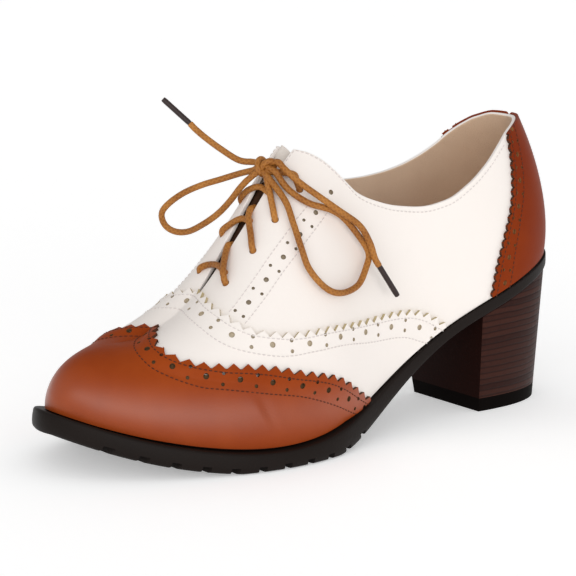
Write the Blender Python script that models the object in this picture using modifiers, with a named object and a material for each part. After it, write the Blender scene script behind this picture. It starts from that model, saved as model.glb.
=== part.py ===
"""Lace-up heeled shoe, a left shoe: white leather upper with a tan wing cap and a tan counter.

Metres, +Z up. +X points to the toe and +Y to the outer side of the foot. The origin lies on the
floor under the middle of the shoe. The tables and sizes are in millimetres, measured from the back
of the heel, and MM turns them into metres.
"""
from math import pi

import bmesh
import bpy
import numpy as np
from mathutils import Matrix, Vector

MM = 0.001

# Leather, in millimetres
WALL = 1.8              # upper with its lining
GAP = 0.3               # clearance between pieces that touch
CAP_THICKNESS = 1.3     # tan wing cap and counter
VAMP_THICKNESS = 0.9    # white vamp layer
OVERLAY_GAP = 0.5       # overlays over the upper, so that facets stay clear of each other
TONGUE_GAP = 0.8
TONGUE_THICKNESS = 1.6

# Sole and heel, in millimetres
SOLE_BULGE = 2.2        # the forefoot's side swells past its top edge
RAND_BULGE = 0.2        # and the rand's side at the heel hardly does
SOLE_UNDERCUT = 0.7     # the bottom edge is drawn in
WAIST = (70.0, 140.0)   # where the thin rand grows into the thick forefoot
LUG_PITCH = 11.0
LUG_GROOVE = 3.0
LUG_DEPTH = 1.8
LUG_FIRST = 126.0       # place of the first groove from the heel back
LUG_COUNT = 11
LUG_REACH = 140.0       # length of the groove cutters, wider than the sole
HEEL_BREAST = 54.0      # flat front of the heel, where it meets the sole
HEEL_INSET = 0.5
HEEL_FOOT_BACK = 2.0    # the heel's bottom outline
HEEL_FOOT_FRONT = 48.5
HEEL_FOOT_NARROWING = 0.765
TOP_PIECE = 6.0         # thickness of the lift under the heel
INSOLE_THICKNESS = 2.0
INSOLE_CLEARANCE = 0.6

# Lace, in millimetres
LACE = 2.6
AGLET = 2.3
EYELET = 3.4
LACE_LIFT = 0.45        # clearance of the lace over the leather
LACE_OVERLAP = 0.9      # where the strands of a crossing meet, the outer one lies this much higher
LACE_STEP = 6.5         # length of the straight pieces of a cord
KNOT = (151.0, 3.0, 110.5)
KNOT_RADII = (4.2, 5.6, 4.0)    # down the throat, across it and away from the foot
KNOT_TILT = 48.0        # slope of the throat at the knot, in degrees

# Finishes: colour and roughness
FINISHES = {
    "white_leather": ((0.93, 0.86, 0.84), 0.45),
    "tan_leather": ((0.33, 0.053, 0.013), 0.38),
    "black_rubber": ((0.016, 0.016, 0.017), 0.55),
    "stacked_heel": ((0.042, 0.015, 0.011), 0.45),
    "heel_rubber": ((0.016, 0.016, 0.017), 0.6),
    "insole_board": ((0.38, 0.26, 0.17), 0.8),
    "waxed_cord": ((0.36, 0.145, 0.03), 0.5),
    "aglet_plastic": ((0.05, 0.033, 0.03), 0.35),
}

# The last, one row for each section from the heel back to the toe tip. Each section is a vertical
# plane from a spine inside the foot out to the sole's edge. x, centre and half place that edge, seat
# is its height and under the height of the sole's underside. ledge is how far the upper stands in
# from the edge, spine_y the spine's sideways place and ridge the height of the foot's top line.
# round and rise shape the section's arch, inner being its roundness on the inner side, and swell
# pushes the wall out above the sole.
COLUMNS = (
    "x", "centre", "half", "seat", "under", "ledge", "spine_y", "ridge", "round", "inner", "rise", "swell",
)
SECTIONS = np.array([
    (0.0,   0.0,  0.0, 65.5, 60.5, 2.4,  0.0, 165.0, 1.18, 1.18, 2.0, 0.30),
    (2.5,   0.0,  9.5, 65.0, 60.0, 2.4,  0.0, 165.0, 1.22, 1.22, 2.0, 0.30),
    (10.0,  0.0, 18.5, 63.2, 58.2, 2.4,  0.0, 163.0, 1.40, 1.40, 2.0, 0.30),
    (24.0,  0.2, 25.5, 59.0, 54.0, 2.2,  0.0, 160.0, 1.80, 1.80, 2.0, 0.30),
    (44.0,  0.8, 28.0, 52.0, 47.0, 1.6,  0.0, 155.0, 2.15, 2.15, 2.0, 0.32),
    (68.0,  1.5, 26.5, 42.5, 37.5, 1.4,  0.0, 149.0, 2.15, 2.15, 2.0, 0.34),
    (92.0,  2.6, 25.2, 29.8, 23.0, 2.2,  0.0, 141.0, 2.00, 2.00, 2.0, 0.34),
    (116.0, 3.6, 29.6, 17.8,  8.8, 2.8,  0.0, 130.0, 1.80, 1.80, 1.9, 0.30),
    (138.0, 4.0, 37.0, 10.6,  0.6, 3.2,  0.0, 116.0, 1.70, 1.70, 1.9, 0.20),
    (158.0, 3.0, 41.8,  7.6, -0.8, 3.5, -0.2,  97.0, 1.70, 1.62, 1.9, 0.12),
    (178.0, 1.2, 43.0,  7.4, -0.7, 3.7, -0.8,  77.6, 1.80, 1.52, 2.0, 0.08),
    (198.0, -1.0, 40.2, 9.6,  1.2, 3.9, -1.6,  60.6, 2.00, 1.72, 2.1, 0.06),
    (217.0, -2.6, 34.0, 13.6, 4.9, 4.1, -2.6,  50.8, 2.20, 2.08, 2.2, 0.06),
    (232.0, -3.6, 25.0, 18.0, 9.2, 4.4, -3.4,  46.7, 2.30, 2.30, 2.2, 0.06),
    (243.0, -4.0, 13.5, 22.0, 13.2, 4.4, -3.9, 45.1, 2.40, 2.40, 2.2, 0.06),
    (248.0, -4.0,  0.0, 24.0, 15.2, 4.4, -4.0, 44.7, 2.40, 2.40, 2.2, 0.06),
])
TOE = len(SECTIONS) - 1
SPINE_HEEL = 55.0       # the spine runs from here to SPINE_TOE, under the shoe's whole length
SPINE_TOE = 212.0
MEETING_ANGLE = np.radians(78.0)    # above this the normals of the two sides blend into one

# Height of the collar by section number, on the outer and the inner side
COLLAR = np.array([
    (0.0, 123.5, 123.5),
    (1.0, 123.5, 124.0),
    (2.0, 122.0, 122.6),
    (3.0, 116.5, 116.0),
    (4.0, 104.0, 105.0),
    (5.0,  94.0,  98.8),
    (6.0,  92.5,  97.0),
    (7.0, 102.0, 102.0),
    (7.4, 110.3, 109.5),
    (7.7, 116.0, 116.0),
    (7.9, 117.4, 117.4),
])
THROAT_TOP = 7.9        # section numbers between which the throat is slit
THROAT_END = 11.0
THROAT_HALF_TOP = 3.4   # half width of the slit at its two ends
THROAT_HALF_END = 0.5

# Panel edges: section number at each angle round the section, from the sole (0) to the ridge (90)
CAP_EDGE = np.array([
    (0.0, 7.0), (12.0, 8.05), (22.0, 9.35), (32.0, 10.55),
    (40.0, 11.3), (50.0, 11.85), (64.0, 12.3), (90.0, 12.6),
])
VAMP_EDGE = np.array([
    (0.0, 5.1), (8.5, 5.75), (16.5, 6.75), (23.5, 8.0), (32.0, 9.3),
    (40.0, 10.0), (52.0, 10.45), (70.0, 10.85), (90.0, 11.15),
])
# Counter edge: section number at each fraction of the height from the sole to the collar
COUNTER_EDGE = np.array([
    (0.0, 4.25), (0.2, 4.18), (0.4, 3.95), (0.6, 3.6), (0.8, 3.4), (1.0, 3.3),
])
# Lace holes, from the top pair down: section number, and angle on the outer and the inner side. Then
# the section number and angle at which the outer strand ends at the slit, and the share of its way
# there at which the inner strand goes under it
EYELETS = (
    (8.10,  63.0, 66.0, 8.12, 90.0, 1.0),
    (8.85,  65.5, 72.0, 8.60, 78.5, 1.0),
    (9.54,  66.8, 73.2, 9.10, 84.5, 0.58),
    (10.32, 69.8, 74.2, 9.84, 87.0, 0.32),
)
# Routes of the bow's cords: x, y and z from the heel back
CORDS = {
    "lace_loop_inner": (
        (152.2, -2.6, 108.5), (154.7, -8.5, 106.6), (159.8, -14.0, 104.0), (164.8, -20.0, 101.3),
        (169.1, -27.0, 97.3), (172.1, -33.5, 92.0), (172.7, -36.5, 87.8), (170.9, -36.5, 83.2),
        (168.0, -33.5, 80.8), (165.4, -28.0, 81.4), (163.6, -20.5, 85.2), (160.9, -14.0, 90.2),
        (159.0, -8.5, 95.9), (157.5, -4.2, 101.4), (156.3, -1.2, 104.8)),
    "lace_loop_outer": (
        (150.0, 8.9, 109.4), (147.6, 14.6, 102.8), (142.3, 20.9, 97.8), (134.0, 24.3, 94.9),
        (127.7, 25.9, 90.7), (120.4, 27.8, 81.8), (117.6, 28.8, 76.4), (119.6, 30.1, 71.8),
        (126.0, 32.8, 65.2), (136.4, 35.1, 63.5), (144.0, 34.7, 66.4), (149.6, 31.4, 73.8),
        (150.6, 27.4, 81.7), (150.6, 22.0, 90.7), (150.4, 16.3, 98.7), (152.2, 7.2, 107.2)),
    "lace_end_inner": (
        (151.0, -3.6, 111.6), (154.5, -9.0, 112.0), (158.5, -16.0, 116.0), (161.5, -22.0, 119.9),
        (163.7, -26.0, 123.1), (164.8, -28.0, 125.1)),
    "lace_end_outer": (
        (148.7, 8.8, 113.0), (145.4, 17.0, 106.6), (139.9, 23.8, 100.8), (132.1, 27.8, 94.7),
        (123.3, 29.5, 88.4), (119.0, 31.0, 81.3), (117.2, 32.1, 75.1), (115.2, 32.4, 71.9)),
}
# Each end's aglet: where its tip is
AGLET_TIPS = {"lace_end_inner": (171.9, -37.0, 134.5), "lace_end_outer": (105.8, 33.2, 58.8)}

# Where pieces start and end: degrees, a share of the height, and section numbers
FEATHER = 0.7           # the overlays start at this angle, just clear of the sole
COUNTER_START = 0.02
CAP_CLEARANCE = 0.05    # between the vamp layer and the cap's edge
TONGUE_TOP = 7.85
TONGUE_END = 11.6
TONGUE_SIDE = 55.0      # angle at the tongue's side edges
HEEL_END = 4.42         # the heel's breast

# How finely each piece is divided: section numbers from and to, and steps between them
SOLE_RUN = ((0.0, 2.0, 6), (2.0, 8.0, 12), (8.0, 12.0, 10), (12.0, 15.0, 10))
HEEL_RUN = ((0.0, 2.0, 6), (2.0, HEEL_END, 5))
INSOLE_RUN = ((0.0, 2.0, 5), (2.0, 12.0, 16), (12.0, 15.0, 7))
UPPER_RUN = ((0.0, 2.0, 5), (2.0, 6.4, 8), (6.4, 8.2, 8), (8.2, 11.0, 7), (11.0, 15.0, 11))
UPPER_ROWS = 11
TONGUE_STEPS, TONGUE_ROWS = 9, 5
VAMP_STEPS, VAMP_ROWS = 6, 22
CAP_STEPS, CAP_ROWS = 17, 17
COUNTER_STEPS, COUNTER_ROWS = 21, 7
ROW_CROWDING = 1.4      # panel rows lie closer together low on the side
EYELET_SIDES = 12
KNOT_SEGMENTS, KNOT_RINGS = 14, 9
CORD_ROUNDING = 2       # rounding steps of a cord's quarter circle
ROUTE_SAMPLES = 20      # points on each stretch of a cord's curve before they are spaced evenly
DENSE_STEPS = 600       # steps of the tables that give a height at a distance from the heel back
WELD = 0.0001           # points this near each other, in metres, become one
SHARP = np.radians(40.0)
# Side of the outsole: share of its height below the top edge, and the shares of swell and tuck there
SOLE_SIDE = ((0.0, 0.0, 0.0), (0.3, 0.8, 0.0), (0.7, 1.0, 0.0), (1.0, 0.0, 1.0))


def fresh_scene():
    for item in list(bpy.data.objects):
        bpy.data.objects.remove(item, do_unlink=True)


def spline_bends(values):
    """Second differences of the cubic spline through the rows, with free ends."""
    count = len(values)
    system = np.eye(count)
    right = np.zeros_like(values)
    for row in range(1, count - 1):
        system[row, row - 1:row + 2] = (1.0, 4.0, 1.0)
        right[row] = 6.0 * (values[row - 1] - 2.0 * values[row] + values[row + 1])
    return np.linalg.solve(system, right)


MIRRORED = 3            # rows repeated past each end, so that both sides meet smoothly
FLIP = np.where(np.array(COLUMNS) == "half", -1.0, 1.0)
KNOTS = np.concatenate([
    SECTIONS[MIRRORED:0:-1] * FLIP,
    SECTIONS,
    SECTIONS[-2:-2 - MIRRORED:-1] * FLIP,
])
BENDS = spline_bends(KNOTS)


def section(number):
    """Every column at a section number, which may lie between two rows."""
    number = np.asarray(number, float)
    low = np.clip(np.floor(number).astype(int), 1 - MIRRORED, TOE + MIRRORED - 2)
    part = (number - low)[..., None]
    row = low + MIRRORED
    straight = KNOTS[row] * (1.0 - part) + KNOTS[row + 1] * part
    bend = (2.0 - part) * BENDS[row] + (1.0 + part) * BENDS[row + 1]
    values = straight - part * (1.0 - part) / 6.0 * bend
    named = {name: values[..., column] for column, name in enumerate(COLUMNS)}
    named["spine_x"] = SPINE_HEEL + (SPINE_TOE - SPINE_HEEL) * named["x"] / SECTIONS[-1, 0]
    return named


DENSE = section(np.linspace(0.0, TOE, DENSE_STEPS))


def height_at(column, x):
    """Height of the sole's top (seat) or underside (under) at a distance from the heel back."""
    return np.interp(x, DENSE["x"], DENSE[column])


def edge_point(number, side, inset):
    """Plan position of the sole's edge, moved in toward the spine by inset."""
    at = section(number)
    reach_x = at["x"] - at["spine_x"]
    reach_y = at["centre"] + side * at["half"] - at["spine_y"]
    keep = 1.0 - inset / np.hypot(reach_x, reach_y)
    return at["spine_x"] + reach_x * keep, at["spine_y"] + reach_y * keep


def roundness(at, side):
    return at["round"] if side > 0 else at["inner"]


def wall_point(number, angle, side):
    """Point of the last: angle 0 at the sole and pi/2 on the ridge, side +1 outer and -1 inner."""
    at = section(number)
    foot_x, foot_y = edge_point(number, side, at["ledge"])
    climb = np.sin(angle) ** (2.0 / at["rise"])
    reach = np.cos(angle) ** (2.0 / roundness(at, side)) + at["swell"] * climb * (1.0 - climb) ** 4
    start = height_at("seat", foot_x) + GAP
    x = at["spine_x"] + (foot_x - at["spine_x"]) * reach
    y = at["spine_y"] + (foot_y - at["spine_y"]) * reach
    return np.stack([x, y, start + (at["ridge"] - start) * climb], -1)


def wall_normal(number, angle, side):
    """Outward normal of the last, taken no higher than where the two sides start to meet."""
    step = 0.001
    inside = np.clip(angle, 2.0 * step, MEETING_ANGLE)
    along = wall_point(number + step, inside, side) - wall_point(number - step, inside, side)
    upward = wall_point(number, inside + step, side) - wall_point(number, inside - step, side)
    normal = -side * np.cross(along, upward)
    return normal / np.linalg.norm(normal, axis=-1, keepdims=True)


def last_point(number, angle, side, offset=0.0):
    """Point at a distance outside the last, along its normal, and never lower than the sole's top."""
    number, angle = np.broadcast_arrays(np.asarray(number, float), np.asarray(angle, float))
    shared = np.clip((angle - MEETING_ANGLE) / (pi / 2.0 - MEETING_ANGLE), 0.0, 1.0)[..., None] / 2.0
    own = wall_normal(number, angle, side)
    normal = own * (1.0 - shared) + wall_normal(number, angle, -side) * shared
    point = wall_point(number, angle, side) + offset * normal
    point[..., 2] = np.maximum(point[..., 2], height_at("seat", point[..., 0]) + GAP)
    return point


def angle_at_height(number, height, side):
    at = section(number)
    foot_x = edge_point(number, side, at["ledge"])[0]
    start = height_at("seat", foot_x) + GAP
    climb = np.clip((height - start) / (at["ridge"] - start), 0.0, 1.0)
    return np.arcsin(climb ** (at["rise"] / 2.0))


def angle_at_gap(number, half_gap, side):
    """Angle at which the wall stands half_gap from the ridge line."""
    at = section(number)
    foot_x, foot_y = edge_point(number, side, at["ledge"])
    reach = np.hypot(foot_x - at["spine_x"], foot_y - at["spine_y"])
    return np.arccos((half_gap / reach) ** (roundness(at, side) / 2.0))


def top_angle(number, side):
    """Where the upper's wall ends: at the collar, at the slit's edge, or on the ridge."""
    if number < THROAT_TOP:
        height = smooth_table(COLLAR[:, 0], COLLAR[:, 1 if side > 0 else 2], number)
        return angle_at_height(number, height, side)
    if number < THROAT_END:
        part = (number - THROAT_TOP) / (THROAT_END - THROAT_TOP)
        half_gap = THROAT_HALF_TOP + (THROAT_HALF_END - THROAT_HALF_TOP) * part
        return angle_at_gap(number, half_gap, side)
    return pi / 2.0


def smooth_table(places, values, place):
    """Value of a short table at a place, on a curve that doesn't overshoot its rows."""
    slopes = np.diff(values) / np.diff(places)
    tangents = np.concatenate([slopes[:1], np.zeros(len(slopes) - 1), slopes[-1:]])
    for row in range(1, len(slopes)):
        if slopes[row - 1] * slopes[row] > 0.0:
            tangents[row] = 2.0 * slopes[row - 1] * slopes[row] / (slopes[row - 1] + slopes[row])
    row = np.clip(np.searchsorted(places, place, side="right") - 1, 0, len(slopes) - 1)
    width = places[row + 1] - places[row]
    t = (place - places[row]) / width
    level = values[row] * (1.0 + 2.0 * t) * (1.0 - t) ** 2 + values[row + 1] * t ** 2 * (3.0 - 2.0 * t)
    return level + width * t * (1.0 - t) * (tangents[row] * (1.0 - t) - tangents[row + 1] * t)


def material(name):
    colour, roughness = FINISHES[name]
    new = bpy.data.materials.new(name)
    new.use_nodes = True
    shader = new.node_tree.nodes["Principled BSDF"]
    shader.inputs["Base Color"].default_value = (*colour, 1.0)
    shader.inputs["Roughness"].default_value = roughness
    return new


def add_object(name, data, look, collection):
    item = bpy.data.objects.new(name, data)
    data.materials.append(look)
    collection.objects.link(item)
    item.parent = SHOE
    return item


def mesh_from(name, shape):
    """Weld the coinciding points of a bmesh and make it a smooth mesh."""
    bmesh.ops.remove_doubles(shape, verts=shape.verts, dist=WELD)
    mesh = bpy.data.meshes.new(name)
    shape.to_mesh(mesh)
    shape.free()
    mesh.shade_smooth()
    mesh.set_sharp_from_angle(angle=SHARP)
    return mesh


def sheet(name, columns, thickness, look):
    """A leather piece: a grid of points on its outer face, thickened inward."""
    shape = bmesh.new()
    points = [[shape.verts.new(Vector(point) * MM) for point in column] for column in columns]
    for first, second in zip(points, points[1:]):
        for row in range(len(first) - 1):
            shape.faces.new((first[row], first[row + 1], second[row + 1], second[row]))
    piece = add_object(name, mesh_from(name, shape), look, PARTS)
    solid = piece.modifiers.new("thickness", "SOLIDIFY")
    solid.thickness = thickness * MM
    solid.offset = -1.0
    solid.use_even_offset = True
    solid.use_quality_normals = True
    return piece


def loft(name, rings, look):
    """A closed solid through rings of points, with its last ring capped where it is open."""
    shape = bmesh.new()
    points = [[shape.verts.new(Vector(point) * MM) for point in ring] for ring in rings]
    for first, second in zip(points, points[1:]):
        for place in range(len(first)):
            after = (place + 1) % len(first)
            shape.faces.new((first[place], first[after], second[after], second[place]))
    bmesh.ops.remove_doubles(shape, verts=shape.verts, dist=WELD)
    bmesh.ops.holes_fill(shape, edges=[edge for edge in shape.edges if edge.is_boundary])
    bmesh.ops.recalc_face_normals(shape, faces=shape.faces)
    return add_object(name, mesh_from(name, shape), look, PARTS)


def cut_by(piece, cutters):
    """Subtract a collection of cutters from a piece."""
    cut = piece.modifiers.new("cut", "BOOLEAN")
    cut.operand_type = "COLLECTION"
    cut.collection = cutters
    cut.operation = "DIFFERENCE"


def cutter_collection(name):
    new = bpy.data.collections.new(name)
    bpy.context.scene.collection.children.link(new)
    return new


def add_cutter(item, collection):
    for holder in list(item.users_collection):
        holder.objects.unlink(item)
    collection.objects.link(item)
    item.parent = SHOE
    item.hide_render = True
    item.display_type = "WIRE"


def runs(stretches):
    """Section numbers along stretches, each given by its ends and its number of steps."""
    parts = [np.linspace(low, high, steps, endpoint=False) for low, high, steps in stretches]
    return np.concatenate(parts + [[stretches[-1][1]]])


def both_sides(numbers):
    """Section numbers with their sides, from the inner toe round the heel to the outer toe."""
    inner = [(number, -1) for number in numbers[::-1]]
    return inner + [(number, 1) for number in numbers[1:]]


def make_outsole():
    rings = []
    for number in runs(SOLE_RUN):
        at = section(number)
        forefoot = np.clip((at["x"] - WAIST[0]) / (WAIST[1] - WAIST[0]), 0.0, 1.0)
        bulge = RAND_BULGE + (SOLE_BULGE - RAND_BULGE) * forefoot
        ring = []
        for side in (1, -1):
            wall = []
            for drop, swell, tuck in SOLE_SIDE:
                x, y = edge_point(number, side, SOLE_UNDERCUT * tuck - bulge * swell)
                low = max(0.0, height_at("under", x))
                wall.append((x, y, at["seat"] + (low - at["seat"]) * drop))
            ring += wall if side > 0 else wall[::-1]
        rings.append(ring)
    outsole = loft("outsole", rings, material("black_rubber"))
    grooves = cutter_collection("lug_cutters")
    for count in range(LUG_COUNT):
        x = LUG_FIRST + LUG_PITCH * count
        rise = height_at("under", x + LUG_GROOVE) - height_at("under", x - LUG_GROOVE)
        low = max(0.0, height_at("under", x))
        bpy.ops.mesh.primitive_cube_add(size=1.0, location=(x * MM, 0.0, low * MM))
        groove = bpy.context.object
        groove.scale = (LUG_GROOVE * MM, LUG_REACH * MM, 2.0 * LUG_DEPTH * MM)
        groove.rotation_euler.y = -np.arctan(rise / (2.0 * LUG_GROOVE))
        add_cutter(groove, grooves)
    cut_by(outsole, grooves)


def heel_outline(number, side, share):
    """Plan position of the heel's side, from the seat (share 0) down to the floor (share 1)."""
    x, y = edge_point(number, side, HEEL_INSET)
    shrink = (HEEL_FOOT_FRONT - HEEL_FOOT_BACK) / (HEEL_BREAST - HEEL_INSET)
    foot_x = HEEL_FOOT_BACK + (x - HEEL_INSET) * shrink
    return x + (foot_x - x) * share, y + (y * HEEL_FOOT_NARROWING - y) * share


def heel_rings(bottom, top=None):
    """Rings of a heel layer between two heights. With no top it reaches up to the sole."""
    rings = []
    for number in runs(HEEL_RUN):
        ring = []
        for side in (1, -1):
            edge_x = edge_point(number, side, HEEL_INSET)[0]
            seat = height_at("under", edge_x) - GAP
            high = seat if top is None else top
            wall = []
            for level in (high, bottom):
                wall.append((*heel_outline(number, side, 1.0 - level / seat), level))
            ring += wall if side > 0 else wall[::-1]
        rings.append(ring)
    return rings


def make_heel():
    loft("heel", heel_rings(TOP_PIECE + GAP), material("stacked_heel"))
    loft("heel_top_piece", heel_rings(0.0, TOP_PIECE), material("heel_rubber"))


def make_insole():
    rings = []
    for number in runs(INSOLE_RUN):
        ring = []
        for side in (1, -1):
            x, y = last_point(number, 0.0, side, -WALL - INSOLE_CLEARANCE)[:2]
            low = height_at("seat", x) + GAP
            wall = [(x, y, low + INSOLE_THICKNESS), (x, y, low)]
            ring += wall if side > 0 else wall[::-1]
        rings.append(ring)
    loft("insole", rings, material("insole_board"))


def make_upper():
    columns = []
    for number, side in both_sides(runs(UPPER_RUN)):
        angles = np.linspace(0.0, 1.0, UPPER_ROWS) * top_angle(number, side)
        columns.append(last_point(number, angles, side))
    upper = sheet("upper", columns, WALL, WHITE)
    holes = cutter_collection("eyelet_cutters")
    for number, outer, inner, *_ in EYELETS:
        for side, degrees in ((1, outer), (-1, inner)):
            middle = last_point(number, np.radians(degrees), side)
            axis = Vector(last_point(number, np.radians(degrees), side, 1.0) - middle)
            bpy.ops.mesh.primitive_cylinder_add(
                vertices=EYELET_SIDES,
                radius=EYELET / 2.0 * MM,
                depth=4.0 * WALL * MM,
                location=Vector(middle) * MM,
            )
            hole = bpy.context.object
            hole.rotation_euler = axis.to_track_quat("Z", "Y").to_euler()
            add_cutter(hole, holes)
    cut_by(upper, holes)


def make_tongue():
    columns = []
    for number in np.linspace(TONGUE_TOP, TONGUE_END, TONGUE_STEPS):
        across = np.radians(np.linspace(TONGUE_SIDE, 90.0, TONGUE_ROWS))
        outer = last_point(number, across, 1, -WALL - TONGUE_GAP)
        inner = last_point(number, across[-2::-1], -1, -WALL - TONGUE_GAP)
        columns.append(np.concatenate([outer, inner]))
    sheet("tongue", columns, TONGUE_THICKNESS, WHITE)


def panel_angles(rows):
    """Angles in degrees from the sole to the ridge, closer together low on the side."""
    return FEATHER + (90.0 - FEATHER) * np.linspace(0.0, 1.0, rows) ** ROW_CROWDING


def along_edge(edge, places):
    """Section numbers on a panel's edge table."""
    return np.array([smooth_table(edge[:, 0], edge[:, 1], place) for place in places])


def make_vamp():
    offset = OVERLAY_GAP + VAMP_THICKNESS
    degrees = panel_angles(VAMP_ROWS)
    rear = along_edge(VAMP_EDGE, degrees)
    front = along_edge(CAP_EDGE, degrees) - CAP_CLEARANCE
    columns = []
    for share in np.linspace(0.0, 1.0, VAMP_STEPS):
        numbers = rear + (front - rear) * share
        outer = last_point(numbers, np.radians(degrees), 1, offset)
        inner = last_point(numbers[-2::-1], np.radians(degrees[-2::-1]), -1, offset)
        columns.append(np.concatenate([outer, inner]))
    sheet("vamp", columns, VAMP_THICKNESS, WHITE)


def make_toe_cap():
    offset = OVERLAY_GAP + CAP_THICKNESS
    degrees = panel_angles(CAP_ROWS)
    rear = along_edge(CAP_EDGE, degrees)
    halves = []
    for side in (1, -1):
        shares = np.linspace(0.0, 1.0, CAP_STEPS)[:, None]
        halves.append(list(last_point(rear + (TOE - rear) * shares, np.radians(degrees), side, offset)))
    outer, inner = halves
    sheet("toe_cap", outer + inner[-2::-1], CAP_THICKNESS, TAN)


def make_counter():
    offset = OVERLAY_GAP + CAP_THICKNESS
    shares = np.linspace(COUNTER_START, 1.0, COUNTER_ROWS)
    front = along_edge(COUNTER_EDGE, shares)
    columns = []
    for place in np.linspace(-1.0, 1.0, COUNTER_STEPS):
        side = 1 if place > 0.0 else -1
        numbers = front * abs(place)
        angles = np.array([top_angle(number, side) for number in numbers]) * shares
        columns.append(last_point(numbers, angles, side, offset))
    sheet("counter", columns, CAP_THICKNESS, TAN)


def smooth_route(points):
    """Evenly spaced points on a smooth curve through a cord's own points."""
    points = np.array(points)
    ends = np.concatenate([[2.0 * points[0] - points[1]], points, [2.0 * points[-1] - points[-2]]])
    t = np.linspace(0.0, 1.0, ROUTE_SAMPLES, endpoint=False)[:, None]
    curve = []
    for before, start, stop, after in zip(ends, ends[1:], ends[2:], ends[3:]):
        bow = (2.0 * before - 5.0 * start + 4.0 * stop - after) * t ** 2
        twist = (3.0 * start - before - 3.0 * stop + after) * t ** 3
        curve.append(start + 0.5 * ((stop - before) * t + bow + twist))
    curve = np.concatenate(curve + [points[-1:]])
    along = np.concatenate([[0.0], np.cumsum(np.linalg.norm(np.diff(curve, axis=0), axis=1))])
    places = np.linspace(0.0, along[-1], max(2, round(along[-1] / LACE_STEP)) + 1)
    return np.stack([np.interp(places, along, curve[:, axis]) for axis in range(3)], -1)


def tube(name, points, diameter, look, collection):
    """A round cord with flat ends along a row of points."""
    curve = bpy.data.curves.new(name, "CURVE")
    curve.dimensions = "3D"
    curve.bevel_depth = diameter / 2.0 * MM
    curve.bevel_resolution = CORD_ROUNDING
    curve.use_fill_caps = True
    line = curve.splines.new("POLY")
    line.points.add(len(points) - 1)
    for point, place in zip(line.points, points):
        point.co = (*(Vector(place) * MM), 1.0)
    return add_object(name, curve, look, collection)


def tube_mesh(name, points, diameter, look, collection):
    """The same cord as a closed mesh, ready to be joined to another."""
    cord = tube(name + "_curve", points, diameter, look, collection)
    mesh = bpy.data.meshes.new_from_object(cord.evaluated_get(bpy.context.evaluated_depsgraph_get()))
    bpy.data.objects.remove(cord, do_unlink=True)
    shape = bmesh.new()
    shape.from_mesh(mesh)
    return add_object(name, mesh_from(name, shape), look, collection)


def over_throat(number, angle, lift):
    """Point over the facings: the angle runs from the inner side over the ridge (90) to the outer one."""
    side = -1 if angle < 90.0 else 1
    return last_point(number, np.radians(min(angle, 180.0 - angle)), side, lift)


def strands(hole):
    """The strands of a crossing: the outer one up to the slit, and the inner one that goes under it."""
    number, outer, inner, slit, slit_angle, share = hole
    low = LACE_LIFT + LACE / 2.0
    meeting = number + (slit - number) * share
    meeting_angle = outer + (slit_angle - outer) * share
    upper_strand = [
        over_throat(number, 180.0 - outer, low),
        over_throat((number + meeting) / 2.0, 180.0 - (outer + meeting_angle) / 2.0, low),
        over_throat(meeting, 180.0 - meeting_angle, low + LACE_OVERLAP),
    ]
    if share < 1.0:
        upper_strand.append(over_throat(slit, 180.0 - slit_angle, low))
    lower_strand = []
    for part in np.linspace(0.0, 1.0, 5):
        angle = inner + (180.0 - meeting_angle - inner) * part
        lower_strand.append(over_throat(number + (meeting - number) * part, angle, low))
    return smooth_route(upper_strand), smooth_route(lower_strand)


def make_lace():
    look = material("waxed_cord")
    joined = cutter_collection("inner_strands")
    for count, hole in enumerate(EYELETS, 1):
        name = f"lace_crossing_{count}"
        upper_strand, lower_strand = strands(hole)
        crossing = tube_mesh(name, upper_strand, LACE, look, PARTS)
        other = tube_mesh(name + "_inner", lower_strand, LACE, look, joined)
        add_cutter(other, joined)
        join = crossing.modifiers.new("join", "BOOLEAN")
        join.operation = "UNION"
        join.object = other
    bpy.ops.mesh.primitive_uv_sphere_add(segments=KNOT_SEGMENTS, ring_count=KNOT_RINGS, radius=1.0)
    knot = bpy.context.object.data.copy()
    bpy.data.objects.remove(bpy.context.object, do_unlink=True)
    knot.transform(Matrix.Diagonal((*KNOT_RADII, 1.0)))
    knot.transform(Matrix.Rotation(np.radians(KNOT_TILT), 4, "Y"))
    knot.transform(Matrix.Translation(KNOT))
    knot.transform(Matrix.Scale(MM, 4))
    knot.shade_smooth()
    add_object("lace_knot", knot, look, PARTS)
    plastic = material("aglet_plastic")
    for name, points in CORDS.items():
        tube(name, smooth_route(points), LACE, look, PARTS)
        if name in AGLET_TIPS:
            tip = Vector(AGLET_TIPS[name])
            way = (tip - Vector(points[-1])).normalized()
            start = Vector(points[-1]) + way * GAP
            tube(name.replace("lace_end", "aglet"), (start, tip), AGLET, plastic, PARTS)


def stand_on_origin():
    """Move the shoe so that the middle of its sole lies over the origin."""
    places = np.array([vertex.co for vertex in bpy.data.objects["outsole"].data.vertices])
    middle = (places.min(0) + places.max(0)) / 2.0
    SHOE.location = (-middle[0], -middle[1], 0.0)


fresh_scene()
PARTS = bpy.data.collections.new("lace_up_heeled_shoe")
bpy.context.scene.collection.children.link(PARTS)
SHOE = bpy.data.objects.new("shoe", None)
PARTS.objects.link(SHOE)
WHITE = material("white_leather")
TAN = material("tan_leather")

make_outsole()
make_heel()
make_insole()
make_upper()
make_tongue()
make_vamp()
make_toe_cap()
make_counter()
make_lace()
stand_on_origin()
bpy.context.view_layer.update()
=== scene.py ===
"""The looks of a lace-up heeled shoe, a left one: white leather with a tan wing cap and counter.

The sizes are in millimetres from the back of the heel, as the shoemaker measures them, and are turned
into the part's own frame where a mesh is made.
"""
from math import pi

import bmesh
import bpy
import numpy as np
from mathutils import Matrix, Vector


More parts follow.
